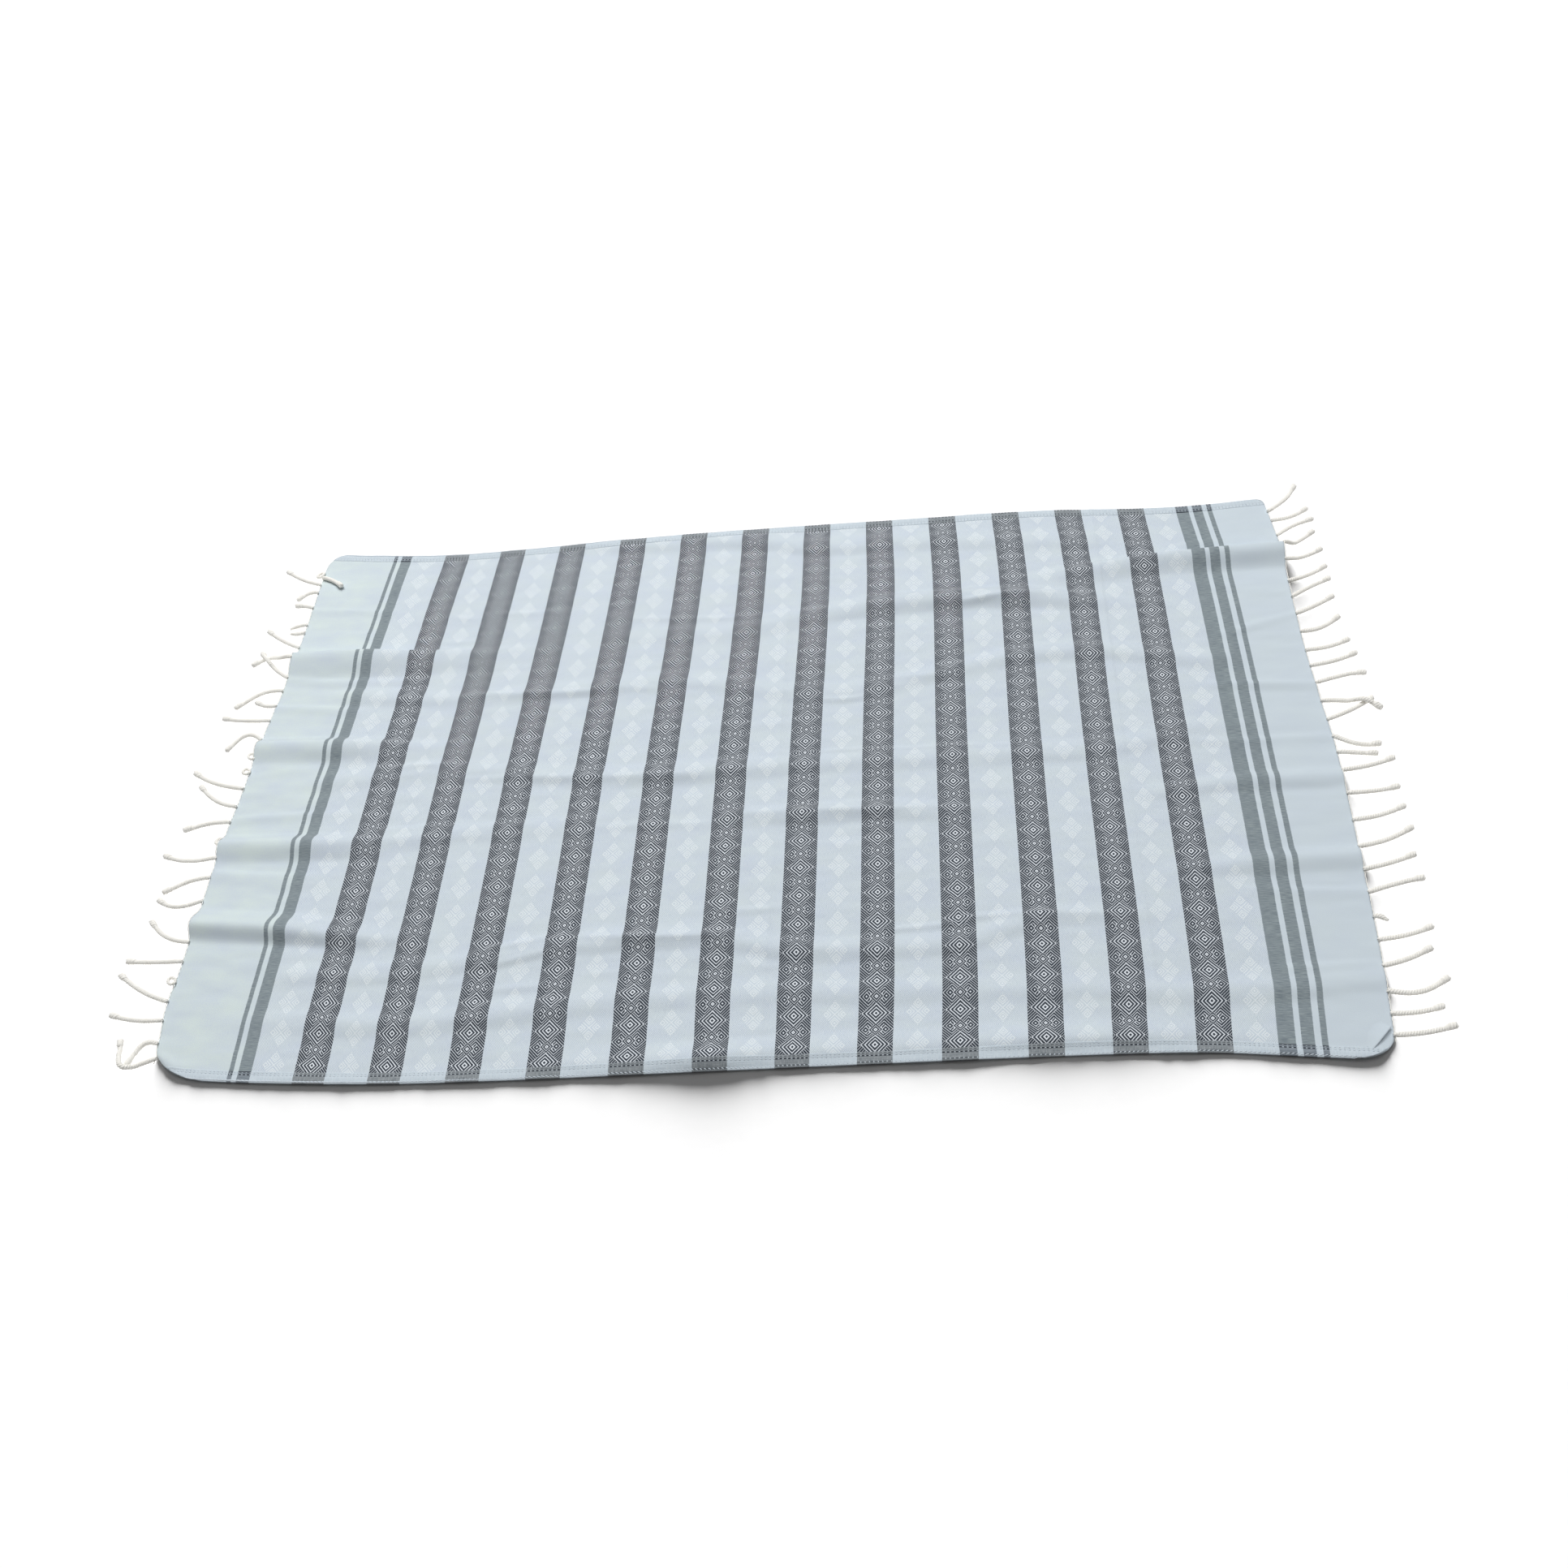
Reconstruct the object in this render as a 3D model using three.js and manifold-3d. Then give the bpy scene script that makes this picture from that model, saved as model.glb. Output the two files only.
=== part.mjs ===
// A fouta towel laid out flat: one woven cloth, a turned hem along each long side,
// and a fringe of twisted cords at each short end.
// Millimetres. X runs along the length, Y from the near hem to the far hem, Z up.
// The tables count from the cloth's middle. At the end the whole towel is moved, so that
// the origin is on the surface that it lies on, under the middle of its outline.

import * as THREE from 'three';
import { mergeVertices } from 'three/addons/utils/BufferGeometryUtils.js';
import Module from 'manifold-3d';

const wasm = await Module();
wasm.setup();

// Driving dimensions

const HALF_LENGTH = 775;      // from the middle to each short end, at half the width
const END_PULL = 9;           // how far the hems draw the ends in at the corners
const END_PULL_POWER = 3;     // how closely that keeps to the corners
const CLOTH_THICK = 1.8;
const HEM_WIDTH = 16;
const HEM_THICK = 1.2;
const SEAM_GAP = 0.3;         // between pieces that lie on or beside each other
const SETTLE = 0.8;           // fold heights below this lie flat on the surface

const STRIP_WIDTH = 4;        // the edge band that carries the fringe
const STRIP_THICK = 2.2;
const CORD_RADIUS = 3.2;
const BOUND_RADIUS = 4.6;      // a cord's bound end
const ROOT_RADIUS = 0.9;
const FLOOR_GAP = 0.4;        // under a cord that lies beside the cloth
const BOUND_FROM = 30;        // cords that reach out less than this end in a plain curl

// The two long sides, read from left to right: where each crosses a station along the length.
const SIDES = [
  { x: -775, near: -508, far: 486 },
  { x: -690, near: -515, far: 477 },
  { x: -560, near: -520, far: 470 },
  { x: -420, near: -520.5, far: 477.5 },
  { x: -220, near: -514, far: 489 },
  { x: 0, near: -504.5, far: 502 },
  { x: 200, near: -496.5, far: 508 },
  { x: 420, near: -488, far: 514 },
  { x: 560, near: -486.5, far: 508 },
  { x: 660, near: -492.5, far: 508 },
  { x: 775, near: -500, far: 518 },
];

// Rounded corners: how far each reaches along the length and across it.
const CORNERS = {
  nearLeft: { along: 72, across: 44 },
  nearRight: { along: 46, across: 34 },
  farLeft: { along: 34, across: 32 },
  farRight: { along: 13, across: 13 },
};

// The largest folds. Each has a crest that wanders along the cloth (x, y and height),
// and the widths of its slopes on the far side and on the near side.
const FOLDS = [
  { // far side, right end
    far: 17, near: 44,
    crest: [
      { x: 370, y: 350, high: 1 },
      { x: 468, y: 368, high: 8 },
      { x: 568, y: 380, high: 14 },
      { x: 642, y: 384, high: 18 },
      { x: 775, y: 391, high: 20 },
    ],
  },
  { // far side, middle
    far: 30, near: 34,
    crest: [
      { x: -256, y: 256, high: 2 },
      { x: -60, y: 262, high: 4.5 },
      { x: 54, y: 290, high: 5.5 },
      { x: 158, y: 306, high: 9 },
      { x: 262, y: 312, high: 12 },
      { x: 366, y: 312, high: 11.5 },
      { x: 468, y: 298, high: 6.5 },
      { x: 530, y: 290, high: 2 },
    ],
  },
  { // far side, left end
    far: 15, near: 60,
    crest: [
      { x: -775, y: 236, high: 15 },
      { x: -637, y: 234, high: 17 },
      { x: -559, y: 232, high: 12 },
      { x: -460, y: 235, high: 5 },
      { x: -370, y: 240, high: 1 },
    ],
  },
  { // left end, above the middle
    far: 24, near: 40,
    crest: [
      { x: -775, y: 46, high: 12 },
      { x: -637, y: 44, high: 12 },
      { x: -559, y: 40, high: 6 },
      { x: -450, y: 30, high: 2 },
    ],
  },
  { // left end, below the middle
    far: 26, near: 36,
    crest: [
      { x: -775, y: -143, high: 12 },
      { x: -637, y: -143, high: 12 },
      { x: -559, y: -141, high: 7 },
      { x: -460, y: -130, high: 4.5 },
      { x: -250, y: -114, high: 3 },
    ],
  },
  { // left end, near side
    far: 36, near: 24,
    crest: [
      { x: -775, y: -280, high: 17 },
      { x: -637, y: -290, high: 15 },
      { x: -559, y: -300, high: 8.5 },
      { x: -480, y: -308, high: 2 },
    ],
  },
  { // long crease across the near half
    far: 30, near: 26,
    crest: [
      { x: -600, y: -362, high: 4 },
      { x: -460, y: -358, high: 4.5 },
      { x: -256, y: -322, high: 5 },
      { x: -153, y: -314, high: 6 },
      { x: -49, y: -312, high: 5.5 },
      { x: 54, y: -334, high: 6 },
      { x: 262, y: -326, high: 4.5 },
      { x: 366, y: -292, high: 4.5 },
      { x: 480, y: -288, high: 3 },
    ],
  },
  { // long crease through the middle
    far: 32, near: 32,
    crest: [
      { x: -640, y: -25, high: 4 },
      { x: -459, y: -10, high: 3.5 },
      { x: -256, y: -32, high: 5.5 },
      { x: -100, y: -26, high: 7.5 },
      { x: 54, y: -18, high: 5.5 },
      { x: 262, y: -10, high: 5 },
      { x: 468, y: -4, high: 4.5 },
      { x: 600, y: 30, high: 3.5 },
    ],
  },
  { // long crease across the far half
    far: 30, near: 30,
    crest: [
      { x: -640, y: 149, high: 5.5 },
      { x: -460, y: 134, high: 3.5 },
      { x: -256, y: 151, high: 5 },
      { x: -153, y: 156, high: 5 },
      { x: 100, y: 122, high: 4 },
      { x: 366, y: 184, high: 6 },
      { x: 468, y: 190, high: 7 },
      { x: 640, y: 160, high: 5 },
    ],
  },
  { // short ridge right of the middle
    far: 26, near: 28,
    crest: [
      { x: -40, y: -110, high: 3 },
      { x: 54, y: -110, high: 7 },
      { x: 158, y: -105, high: 7 },
      { x: 280, y: -112, high: 3 },
    ],
  },
  { // shallow crease inside the near hem
    far: 30, near: 30,
    crest: [
      { x: -620, y: -430, high: 3.5 },
      { x: -460, y: -438, high: 5.5 },
      { x: -300, y: -420, high: 5 },
      { x: -100, y: -402, high: 4 },
      { x: 366, y: -395, high: 4 },
      { x: 568, y: -403, high: 5.5 },
      { x: 775, y: -388, high: 4.5 },
    ],
  },
  { // the near hem lifts off the surface
    far: 34, near: 22,
    crest: [
      { x: -270, y: -497, high: 1.5 },
      { x: -153, y: -494, high: 5 },
      { x: -49, y: -490, high: 9 },
      { x: 60, y: -482, high: 5.5 },
      { x: 200, y: -474, high: 4.5 },
      { x: 366, y: -468, high: 7 },
      { x: 468, y: -465, high: 6.5 },
      { x: 580, y: -462, high: 1.5 },
    ],
  },
  { // right end, near side
    far: 26, near: 28,
    crest: [
      { x: 560, y: -220, high: 3 },
      { x: 642, y: -209, high: 7 },
      { x: 775, y: -204, high: 8.5 },
    ],
  },
  { // right end, below the middle
    far: 24, near: 26,
    crest: [
      { x: 550, y: -86, high: 3.5 },
      { x: 642, y: -72, high: 6 },
      { x: 775, y: -68, high: 6.5 },
    ],
  },
  { // the far hem lifts off the surface
    far: 44, near: 30,
    crest: [
      { x: -370, y: 478, high: 1.5 },
      { x: -256, y: 473, high: 5 },
      { x: -49, y: 470, high: 7 },
      { x: 54, y: 448, high: 7 },
      { x: 200, y: 452, high: 5.5 },
      { x: 480, y: 432, high: 4.5 },
    ],
  },
];
const FOLD_FADE = 60;         // a fold runs out over this length past its last crest point

// The fringe, from the far corner to the near one. root is the cord's place along the end;
// reach and lean carry its tip out from the cloth and towards the far side; bow is a sideways
// bend at its middle, hook one at its tip, and lift carries it over a neighbour.
const CORDS_LEFT = [
  { root: 436, reach: 16, lean: -13, bow: 2, hook: 0, lift: 0 },
  { root: 424, reach: -40, lean: -26, bow: 4, hook: 0, lift: 0 },
  { root: 408, reach: 68, lean: 36, bow: -4, hook: 0, lift: 0 },
  { root: 389, reach: 31, lean: -15, bow: 6, hook: -5, lift: 0 },
  { root: 352, reach: 32, lean: 3, bow: 3, hook: 2, lift: 0 },
  { root: 312, reach: 27, lean: -9, bow: 2, hook: 0, lift: 0 },
  { root: 294, reach: 24, lean: -2, bow: -2, hook: 0, lift: 0 },
  { root: 259, reach: 63, lean: 40, bow: -3, hook: 0, lift: 0 },
  { root: 228, reach: 68, lean: 2, bow: 9, hook: -10, lift: 0 },
  { root: 192, reach: 58, lean: 52, bow: -4, hook: 4, lift: 7 },
  { root: 164, reach: 68, lean: -37, bow: 13, hook: 0, lift: 0 },
  { root: 132, reach: 36, lean: 8, bow: -4, hook: 0, lift: 0 },
  { root: 101, reach: 78, lean: 6, bow: -2, hook: 0, lift: 0 },
  { root: 61, reach: 50, lean: -10, bow: 16, hook: -13, lift: 0 },
  { root: 24, reach: 16, lean: 11, bow: 5, hook: 0, lift: 0 },
  { root: -4, reach: 9, lean: 5, bow: 2, hook: 0, lift: 0 },
  { root: -35, reach: 86, lean: 30, bow: -5, hook: 3, lift: 0 },
  { root: -69, reach: 68, lean: 40, bow: -9, hook: 0, lift: 0 },
  { root: -98, reach: 67, lean: -15, bow: 5, hook: 0, lift: 0 },
  { root: -131, reach: 8, lean: -6, bow: 2, hook: 0, lift: 0 },
  { root: -163, reach: 81, lean: 3, bow: -6, hook: 2, lift: 0 },
  { root: -197, reach: 62, lean: -27, bow: 6, hook: 0, lift: 0 },
  { root: -237, reach: 66, lean: -2, bow: -9, hook: 4, lift: 0 },
  { root: -306, reach: 66, lean: 31, bow: -8, hook: 4, lift: 0 },
  { root: -337, reach: 80, lean: 0, bow: -1, hook: 0, lift: 0 },
  { root: -371, reach: 17, lean: 8, bow: 5, hook: 0, lift: 0 },
  { root: -400, reach: 81, lean: 42, bow: -5, hook: 0, lift: 0 },
  { root: -428, reach: 76, lean: 8, bow: -4, hook: 0, lift: 0 },
  { root: -463, reach: 33, lean: -14, bow: 8, hook: -20, lift: 0 },
  { root: -484, reach: 58, lean: -26, bow: 0, hook: 54, lift: 8 },
];
const CORDS_RIGHT = [
  { root: 484, reach: 52, lean: 50, bow: -3, hook: 10, lift: 0 },
  { root: 462, reach: 60, lean: 24, bow: -6, hook: 0, lift: 0 },
  { root: 426, reach: 62, lean: 34, bow: 5, hook: 0, lift: 0 },
  { root: 393, reach: 56, lean: 38, bow: -3, hook: 0, lift: 0 },
  { root: 366, reach: 61, lean: 23, bow: -4, hook: 0, lift: 0 },
  { root: 321, reach: 62, lean: 29, bow: -4, hook: 0, lift: 0 },
  { root: 286, reach: 63, lean: 36, bow: 2, hook: 0, lift: 0 },
  { root: 249, reach: 61, lean: 34, bow: -2, hook: 0, lift: 0 },
  { root: 211, reach: 61, lean: 28, bow: -8, hook: 0, lift: 0 },
  { root: 172, reach: 66, lean: 18, bow: -4, hook: 0, lift: 0 },
  { root: 140, reach: 70, lean: 22, bow: -3, hook: 0, lift: 0 },
  { root: 106, reach: 74, lean: 21, bow: 1, hook: -6, lift: 0 },
  { root: 71, reach: 80, lean: -14, bow: 4, hook: -6, lift: 8 },
  { root: 35, reach: 70, lean: 38, bow: -3, hook: 0, lift: 0 },
  { root: 5, reach: 62, lean: -18, bow: -8, hook: 0, lift: 0 },
  { root: -25, reach: 54, lean: -6, bow: 0, hook: 0, lift: 0 },
  { root: -58, reach: 74, lean: 19, bow: -3, hook: 0, lift: 0 },
  { root: -98, reach: 71, lean: 8, bow: -2, hook: 0, lift: 0 },
  { root: -144, reach: 72, lean: 21, bow: -4, hook: 0, lift: 0 },
  { root: -188, reach: 75, lean: 29, bow: -5, hook: 0, lift: 0 },
  { root: -225, reach: 70, lean: 22, bow: -2, hook: 0, lift: 0 },
  { root: -261, reach: 74, lean: 22, bow: 1, hook: -2, lift: 0 },
  { root: -298, reach: 15, lean: -7, bow: 3, hook: 0, lift: 0 },
  { root: -333, reach: 67, lean: 18, bow: -3, hook: 0, lift: 0 },
  { root: -371, reach: 61, lean: 25, bow: -3, hook: 0, lift: 0 },
  { root: -406, reach: 72, lean: 17, bow: -11, hook: 0, lift: 0 },
  { root: -438, reach: 60, lean: 9, bow: -3, hook: 0, lift: 0 },
  { root: -467, reach: 75, lean: 14, bow: -3, hook: 0, lift: 0 },
];

// Stations of the grid, measured in from the long sides and from the short ends, then even between.
const SIDE_STEPS = [0, 3, 8, 12, HEM_WIDTH, 22, 32, 44, 58];
const END_STEPS = [0, 20, 55];
const ROW_STEPS = 60;         // across the cloth, between the last two of the side steps
const COLUMN_STEPS = 17;      // along the cloth, between the last two of the end steps
const HEM_STEPS = SIDE_STEPS.filter((d) => d <= HEM_WIDTH);

// Colours and roughness of the threads
const COLOURS = { cloth: 0xccdbe5, hem: 0xc6d4de, cord: 0xe8e2d2 };
const ROUGHNESS = 0.9;

function material(colour) {
  return new THREE.MeshStandardMaterial({ color: colour, roughness: ROUGHNESS, metalness: 0 });
}

// A value read from a table at x: a smooth curve through the rows, level past its ends.
function readTable(rows, x, key) {
  const last = rows.length - 1;
  if (x <= rows[0].x) return rows[0][key];
  if (x >= rows[last].x) return rows[last][key];
  let i = 0;
  while (x > rows[i + 1].x) i += 1;
  const a = rows[i];
  const b = rows[i + 1];
  const before = rows[Math.max(i - 1, 0)];
  const after = rows[Math.min(i + 2, last)];
  const span = b.x - a.x;
  const t = (x - a.x) / span;
  const slopeA = (b[key] - before[key]) / (b.x - before.x) * span;
  const slopeB = (after[key] - a[key]) / (after.x - a.x) * span;
  const t2 = t * t;
  const t3 = t2 * t;
  return a[key] * (2 * t3 - 3 * t2 + 1) + slopeA * (t3 - 2 * t2 + t)
    + b[key] * (3 * t2 - 2 * t3) + slopeB * (t3 - t2);
}

const smooth = (t) => {
  const c = THREE.MathUtils.clamp(t, 0, 1);
  return c * c * (3 - 2 * c);
};

const hill = (t) => (t < 1 ? 0.5 + 0.5 * Math.cos(Math.PI * t) : 0);

// Height of one fold over the surface at a place.
function oneFold(fold, x, y) {
  const first = fold.crest[0];
  const last = fold.crest[fold.crest.length - 1];
  const past = Math.max(first.x - x, x - last.x, 0);
  if (past > FOLD_FADE) return 0;
  const offset = y - readTable(fold.crest, x, 'y');
  const width = offset > 0 ? fold.far : fold.near;
  const crest = readTable(fold.crest, x, 'high');
  return crest * hill(Math.abs(offset) / width) * (1 - smooth(past / FOLD_FADE));
}

// Height of the cloth's underside: nothing where it rests, the folds elsewhere.
function clothHeight(x, y) {
  const sum = FOLDS.reduce((total, fold) => total + oneFold(fold, x, y), 0);
  return Math.max(0, sum - SETTLE);
}

// How far a rounded corner draws the end in, at a distance from the long side.
function cornerInset(corner, fromSide) {
  if (fromSide >= corner.across) return 0;
  const d = 1 - fromSide / corner.across;
  return corner.along * (1 - Math.sqrt(1 - d * d));
}

// One short end's distance from the middle, at a row of the cloth.
function endReach(fromNear, fromFar, nearCorner, farCorner) {
  const across = fromNear / (fromNear + fromFar) * 2 - 1;
  return HALF_LENGTH - END_PULL * Math.abs(across) ** END_PULL_POWER
    - cornerInset(nearCorner, fromNear) - cornerInset(farCorner, fromFar);
}

// A place on the cloth. u runs along it from -1 to 1. across is the distance from the near
// side, or from the far side where fromFarSide is true.
function clothPlace(u, across, fromFarSide) {
  let x = u * HALF_LENGTH;
  let near = readTable(SIDES, x, 'near');
  let far = readTable(SIDES, x, 'far');
  const width = far - near;
  const fromNear = fromFarSide ? width - across : across;
  const left = endReach(fromNear, width - fromNear, CORNERS.nearLeft, CORNERS.farLeft);
  const right = endReach(fromNear, width - fromNear, CORNERS.nearRight, CORNERS.farRight);
  x = u < 0 ? u * left : u * right;
  near = readTable(SIDES, x, 'near');
  far = readTable(SIDES, x, 'far');
  const y = near + fromNear / width * (far - near);
  return { x, y, z: clothHeight(x, y) };
}

// Rows across the whole cloth, as shares of its width.
function rowPlaces(u) {
  const x = u * HALF_LENGTH;
  const width = readTable(SIDES, x, 'far') - readTable(SIDES, x, 'near');
  const edge = SIDE_STEPS[SIDE_STEPS.length - 1];
  const rows = SIDE_STEPS.map((d) => clothPlace(u, d, false));
  for (let i = 1; i < ROW_STEPS; i += 1) {
    rows.push(clothPlace(u, edge + (width - 2 * edge) * i / ROW_STEPS, false));
  }
  for (const d of [...SIDE_STEPS].reverse()) rows.push(clothPlace(u, d, true));
  return rows;
}

// Columns along the cloth, from -1 to 1, finer at the ends.
function columnPlaces() {
  const edge = END_STEPS.map((d) => d / HALF_LENGTH);
  const inner = 1 - edge[edge.length - 1];
  const columns = edge.map((d) => d - 1);
  for (let i = 1; i < COLUMN_STEPS; i += 1) columns.push(inner * (2 * i / COLUMN_STEPS - 1));
  for (const d of edge.reverse()) columns.push(1 - d);
  return columns;
}

// A closed wall over a grid of places: a lower skin, an upper skin and a rim.
function wallGeometry(grid, lift, thick) {
  const columns = grid.length;
  const rows = grid[0].length;
  const positions = [];
  for (const raise of [lift, lift + thick]) {
    for (const column of grid) {
      for (const p of column) positions.push(p.x, p.y, p.z + raise);
    }
  }
  const low = (i, j) => i * rows + j;
  const high = (i, j) => columns * rows + i * rows + j;
  const faces = [];
  const quad = (a, b, c, d) => faces.push(a, b, c, a, c, d);
  for (let i = 0; i < columns - 1; i += 1) {
    for (let j = 0; j < rows - 1; j += 1) {
      quad(high(i, j), high(i + 1, j), high(i + 1, j + 1), high(i, j + 1));
      quad(low(i, j), low(i, j + 1), low(i + 1, j + 1), low(i + 1, j));
    }
    quad(low(i, 0), low(i + 1, 0), high(i + 1, 0), high(i, 0));
    quad(low(i + 1, rows - 1), low(i, rows - 1), high(i, rows - 1), high(i + 1, rows - 1));
  }
  for (let j = 0; j < rows - 1; j += 1) {
    quad(low(0, j + 1), low(0, j), high(0, j), high(0, j + 1));
    quad(low(columns - 1, j), low(columns - 1, j + 1), high(columns - 1, j + 1), high(columns - 1, j));
  }
  return indexedGeometry(positions, faces);
}

function indexedGeometry(positions, faces) {
  const geometry = new THREE.BufferGeometry();
  geometry.setAttribute('position', new THREE.Float32BufferAttribute(positions, 3));
  geometry.setIndex(faces);
  return geometry;
}

function clothGeometry() {
  return wallGeometry(columnPlaces().map(rowPlaces), 0, CLOTH_THICK);
}

// A hem lies on the cloth along one long side, made from the cloth's own places.
function hemGeometry(fromFarSide) {
  const rows = fromFarSide ? [...HEM_STEPS].reverse() : HEM_STEPS;
  const grid = columnPlaces().map((u) => rows.map((d) => clothPlace(u, d, fromFarSide)));
  return wallGeometry(grid, CLOTH_THICK + SEAM_GAP, HEM_THICK);
}

const STRIP_CLEAR = 0.45;     // share of a rounded corner that the edge band keeps off

// The places of one short end, between its corners, from the near side to the far side.
function endPlaces(side) {
  const nearCorner = side < 0 ? CORNERS.nearLeft : CORNERS.nearRight;
  const farCorner = side < 0 ? CORNERS.farLeft : CORNERS.farRight;
  return rowPlaces(side).filter((p) => {
    const fromNear = p.y - readTable(SIDES, p.x, 'near');
    const fromFar = readTable(SIDES, p.x, 'far') - p.y;
    return fromNear > nearCorner.across * STRIP_CLEAR && fromFar > farCorner.across * STRIP_CLEAR;
  });
}

// Places moved out from the cloth's end by a distance, square to the end's own line.
function movedOut(places, side, distance) {
  return places.map((p, i) => {
    const before = places[Math.max(i - 1, 0)];
    const after = places[Math.min(i + 1, places.length - 1)];
    const out = new THREE.Vector2(after.y - before.y, before.x - after.x).normalize();
    return { x: p.x + side * distance * out.x, y: p.y + side * distance * out.y, z: p.z };
  });
}

// The place on a short end that lies at a given y.
function endPlaceAt(places, y) {
  const rows = places.map((p) => ({ x: p.y, across: p.x, z: p.z }));
  return { x: readTable(rows, y, 'across'), z: readTable(rows, y, 'z') };
}

// The band along one short end that the cords grow from.
function stripGeometry(side) {
  const edge = endPlaces(side);
  const inner = movedOut(edge, side, SEAM_GAP);
  const outer = movedOut(edge, side, SEAM_GAP + STRIP_WIDTH);
  const grid = side > 0 ? [inner, outer] : [outer, inner];
  return wallGeometry(grid, 0, STRIP_THICK);
}

// Stations along a cord: how far along it, and its radius there.
const BOUND = [
  { at: 0, radius: ROOT_RADIUS },
  { at: 0.12, radius: CORD_RADIUS * 0.85 },
  { at: 0.34, radius: CORD_RADIUS },
  { at: 0.6, radius: CORD_RADIUS },
  { at: 0.84, radius: CORD_RADIUS * 0.9 },
  { at: 0.9, radius: BOUND_RADIUS },
  { at: 0.97, radius: BOUND_RADIUS },
  { at: 1, radius: CORD_RADIUS * 0.8 },
];
const CURLED = [
  { at: 0, radius: ROOT_RADIUS },
  { at: 0.35, radius: CORD_RADIUS * 0.8 },
  { at: 0.7, radius: CORD_RADIUS },
  { at: 1, radius: CORD_RADIUS * 0.7 },
];
const ROOT_FALL = 0.45;       // share of its length over which a cord comes down to the surface
const CLIMB = 0.08;           // share over which a cord that is turned back climbs onto the cloth
const HOOK_FROM = 0.6;        // share past which a cord's tip hooks aside
const LIFT = { at: 0.72, spread: 0.3 };   // where a cord passes over its neighbour

// The middle line of a cord at a share of its length.
function cordPlace(cord, side, root, t, radius) {
  const x = root.x + side * (SEAM_GAP + STRIP_WIDTH / 2 + cord.reach * t);
  const hook = cord.hook * Math.max(0, (t - HOOK_FROM) / (1 - HOOK_FROM)) ** 2;
  const y = cord.root + cord.lean * t + cord.bow * Math.sin(Math.PI * t) + hook;
  if (cord.reach < 0) {
    const seat = clothHeight(x, y) + CLOTH_THICK + FLOOR_GAP + radius;
    const start = root.z + STRIP_THICK;
    return new THREE.Vector3(x, y, THREE.MathUtils.lerp(start, seat, smooth(t / CLIMB)));
  }
  const seat = radius + FLOOR_GAP;
  const start = root.z + STRIP_THICK / 2;
  const over = cord.lift * hill(Math.abs(t - LIFT.at) / LIFT.spread);
  const fall = smooth(t / ROOT_FALL);
  return new THREE.Vector3(x, y, Math.max(seat, THREE.MathUtils.lerp(start, seat, fall)) + over);
}

// A cord with four sides, closed at both ends.
function cordGeometry(cord, side, root) {
  const stations = Math.abs(cord.reach) < BOUND_FROM ? CURLED : BOUND;
  const centres = stations.map((s) => cordPlace(cord, side, root, s.at, s.radius));
  const up = new THREE.Vector3(0, 0, 1);
  const positions = [];
  stations.forEach((station, i) => {
    const before = centres[Math.max(i - 1, 0)];
    const after = centres[Math.min(i + 1, centres.length - 1)];
    const along = after.clone().sub(before).normalize();
    const across = along.clone().cross(up).normalize();
    const rise = along.clone().cross(across);
    for (const [a, b] of [[1, 0], [0, 1], [-1, 0], [0, -1]]) {
      const p = centres[i].clone()
        .addScaledVector(across, a * station.radius)
        .addScaledVector(rise, b * station.radius);
      positions.push(p.x, p.y, p.z);
    }
  });
  const faces = [];
  for (let i = 0; i < stations.length - 1; i += 1) {
    for (let k = 0; k < 4; k += 1) {
      const a = i * 4 + k;
      const b = i * 4 + (k + 1) % 4;
      faces.push(a, b, b + 4, a, b + 4, a + 4);
    }
  }
  const end = (stations.length - 1) * 4;
  faces.push(0, 3, 2, 0, 2, 1);
  faces.push(end, end + 1, end + 2, end, end + 2, end + 3);
  return indexedGeometry(positions, faces);
}

function toSolid(geometry) {
  const merged = mergeVertices(geometry);
  return new wasm.Manifold(new wasm.Mesh({
    numProp: 3,
    vertProperties: new Float32Array(merged.attributes.position.array),
    triVerts: new Uint32Array(merged.index.array),
  }));
}

function fromSolid(solid) {
  const mesh = solid.getMesh();
  return indexedGeometry(Array.from(mesh.vertProperties), Array.from(mesh.triVerts));
}

// One end's fringe: the band with every cord's root fused into it.
function fringeGeometry(side, cords) {
  const edge = endPlaces(side);
  let solid = toSolid(stripGeometry(side));
  for (const cord of cords) {
    const root = endPlaceAt(edge, cord.root);
    solid = solid.add(toSolid(cordGeometry(cord, side, root)));
  }
  return fromSolid(solid);
}

function piece(name, geometry, colour) {
  const mesh = new THREE.Mesh(geometry, material(colour));
  mesh.name = name;
  return mesh;
}

const towel = new THREE.Group();
towel.add(
  piece('cloth', clothGeometry(), COLOURS.cloth),
  piece('hem_near', hemGeometry(false), COLOURS.hem),
  piece('hem_far', hemGeometry(true), COLOURS.hem),
  piece('fringe_left', fringeGeometry(-1, CORDS_LEFT), COLOURS.cord),
  piece('fringe_right', fringeGeometry(1, CORDS_RIGHT), COLOURS.cord),
);

const outline = new THREE.Box3().setFromObject(towel);
const middle = outline.getCenter(new THREE.Vector3());
for (const mesh of towel.children) mesh.geometry.translate(-middle.x, -middle.y, -outline.min.z);

export default towel;
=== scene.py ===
import math
import operator
from collections import namedtuple
from functools import reduce

import bpy
import numpy as np
from mathutils import Matrix, Vector


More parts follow.
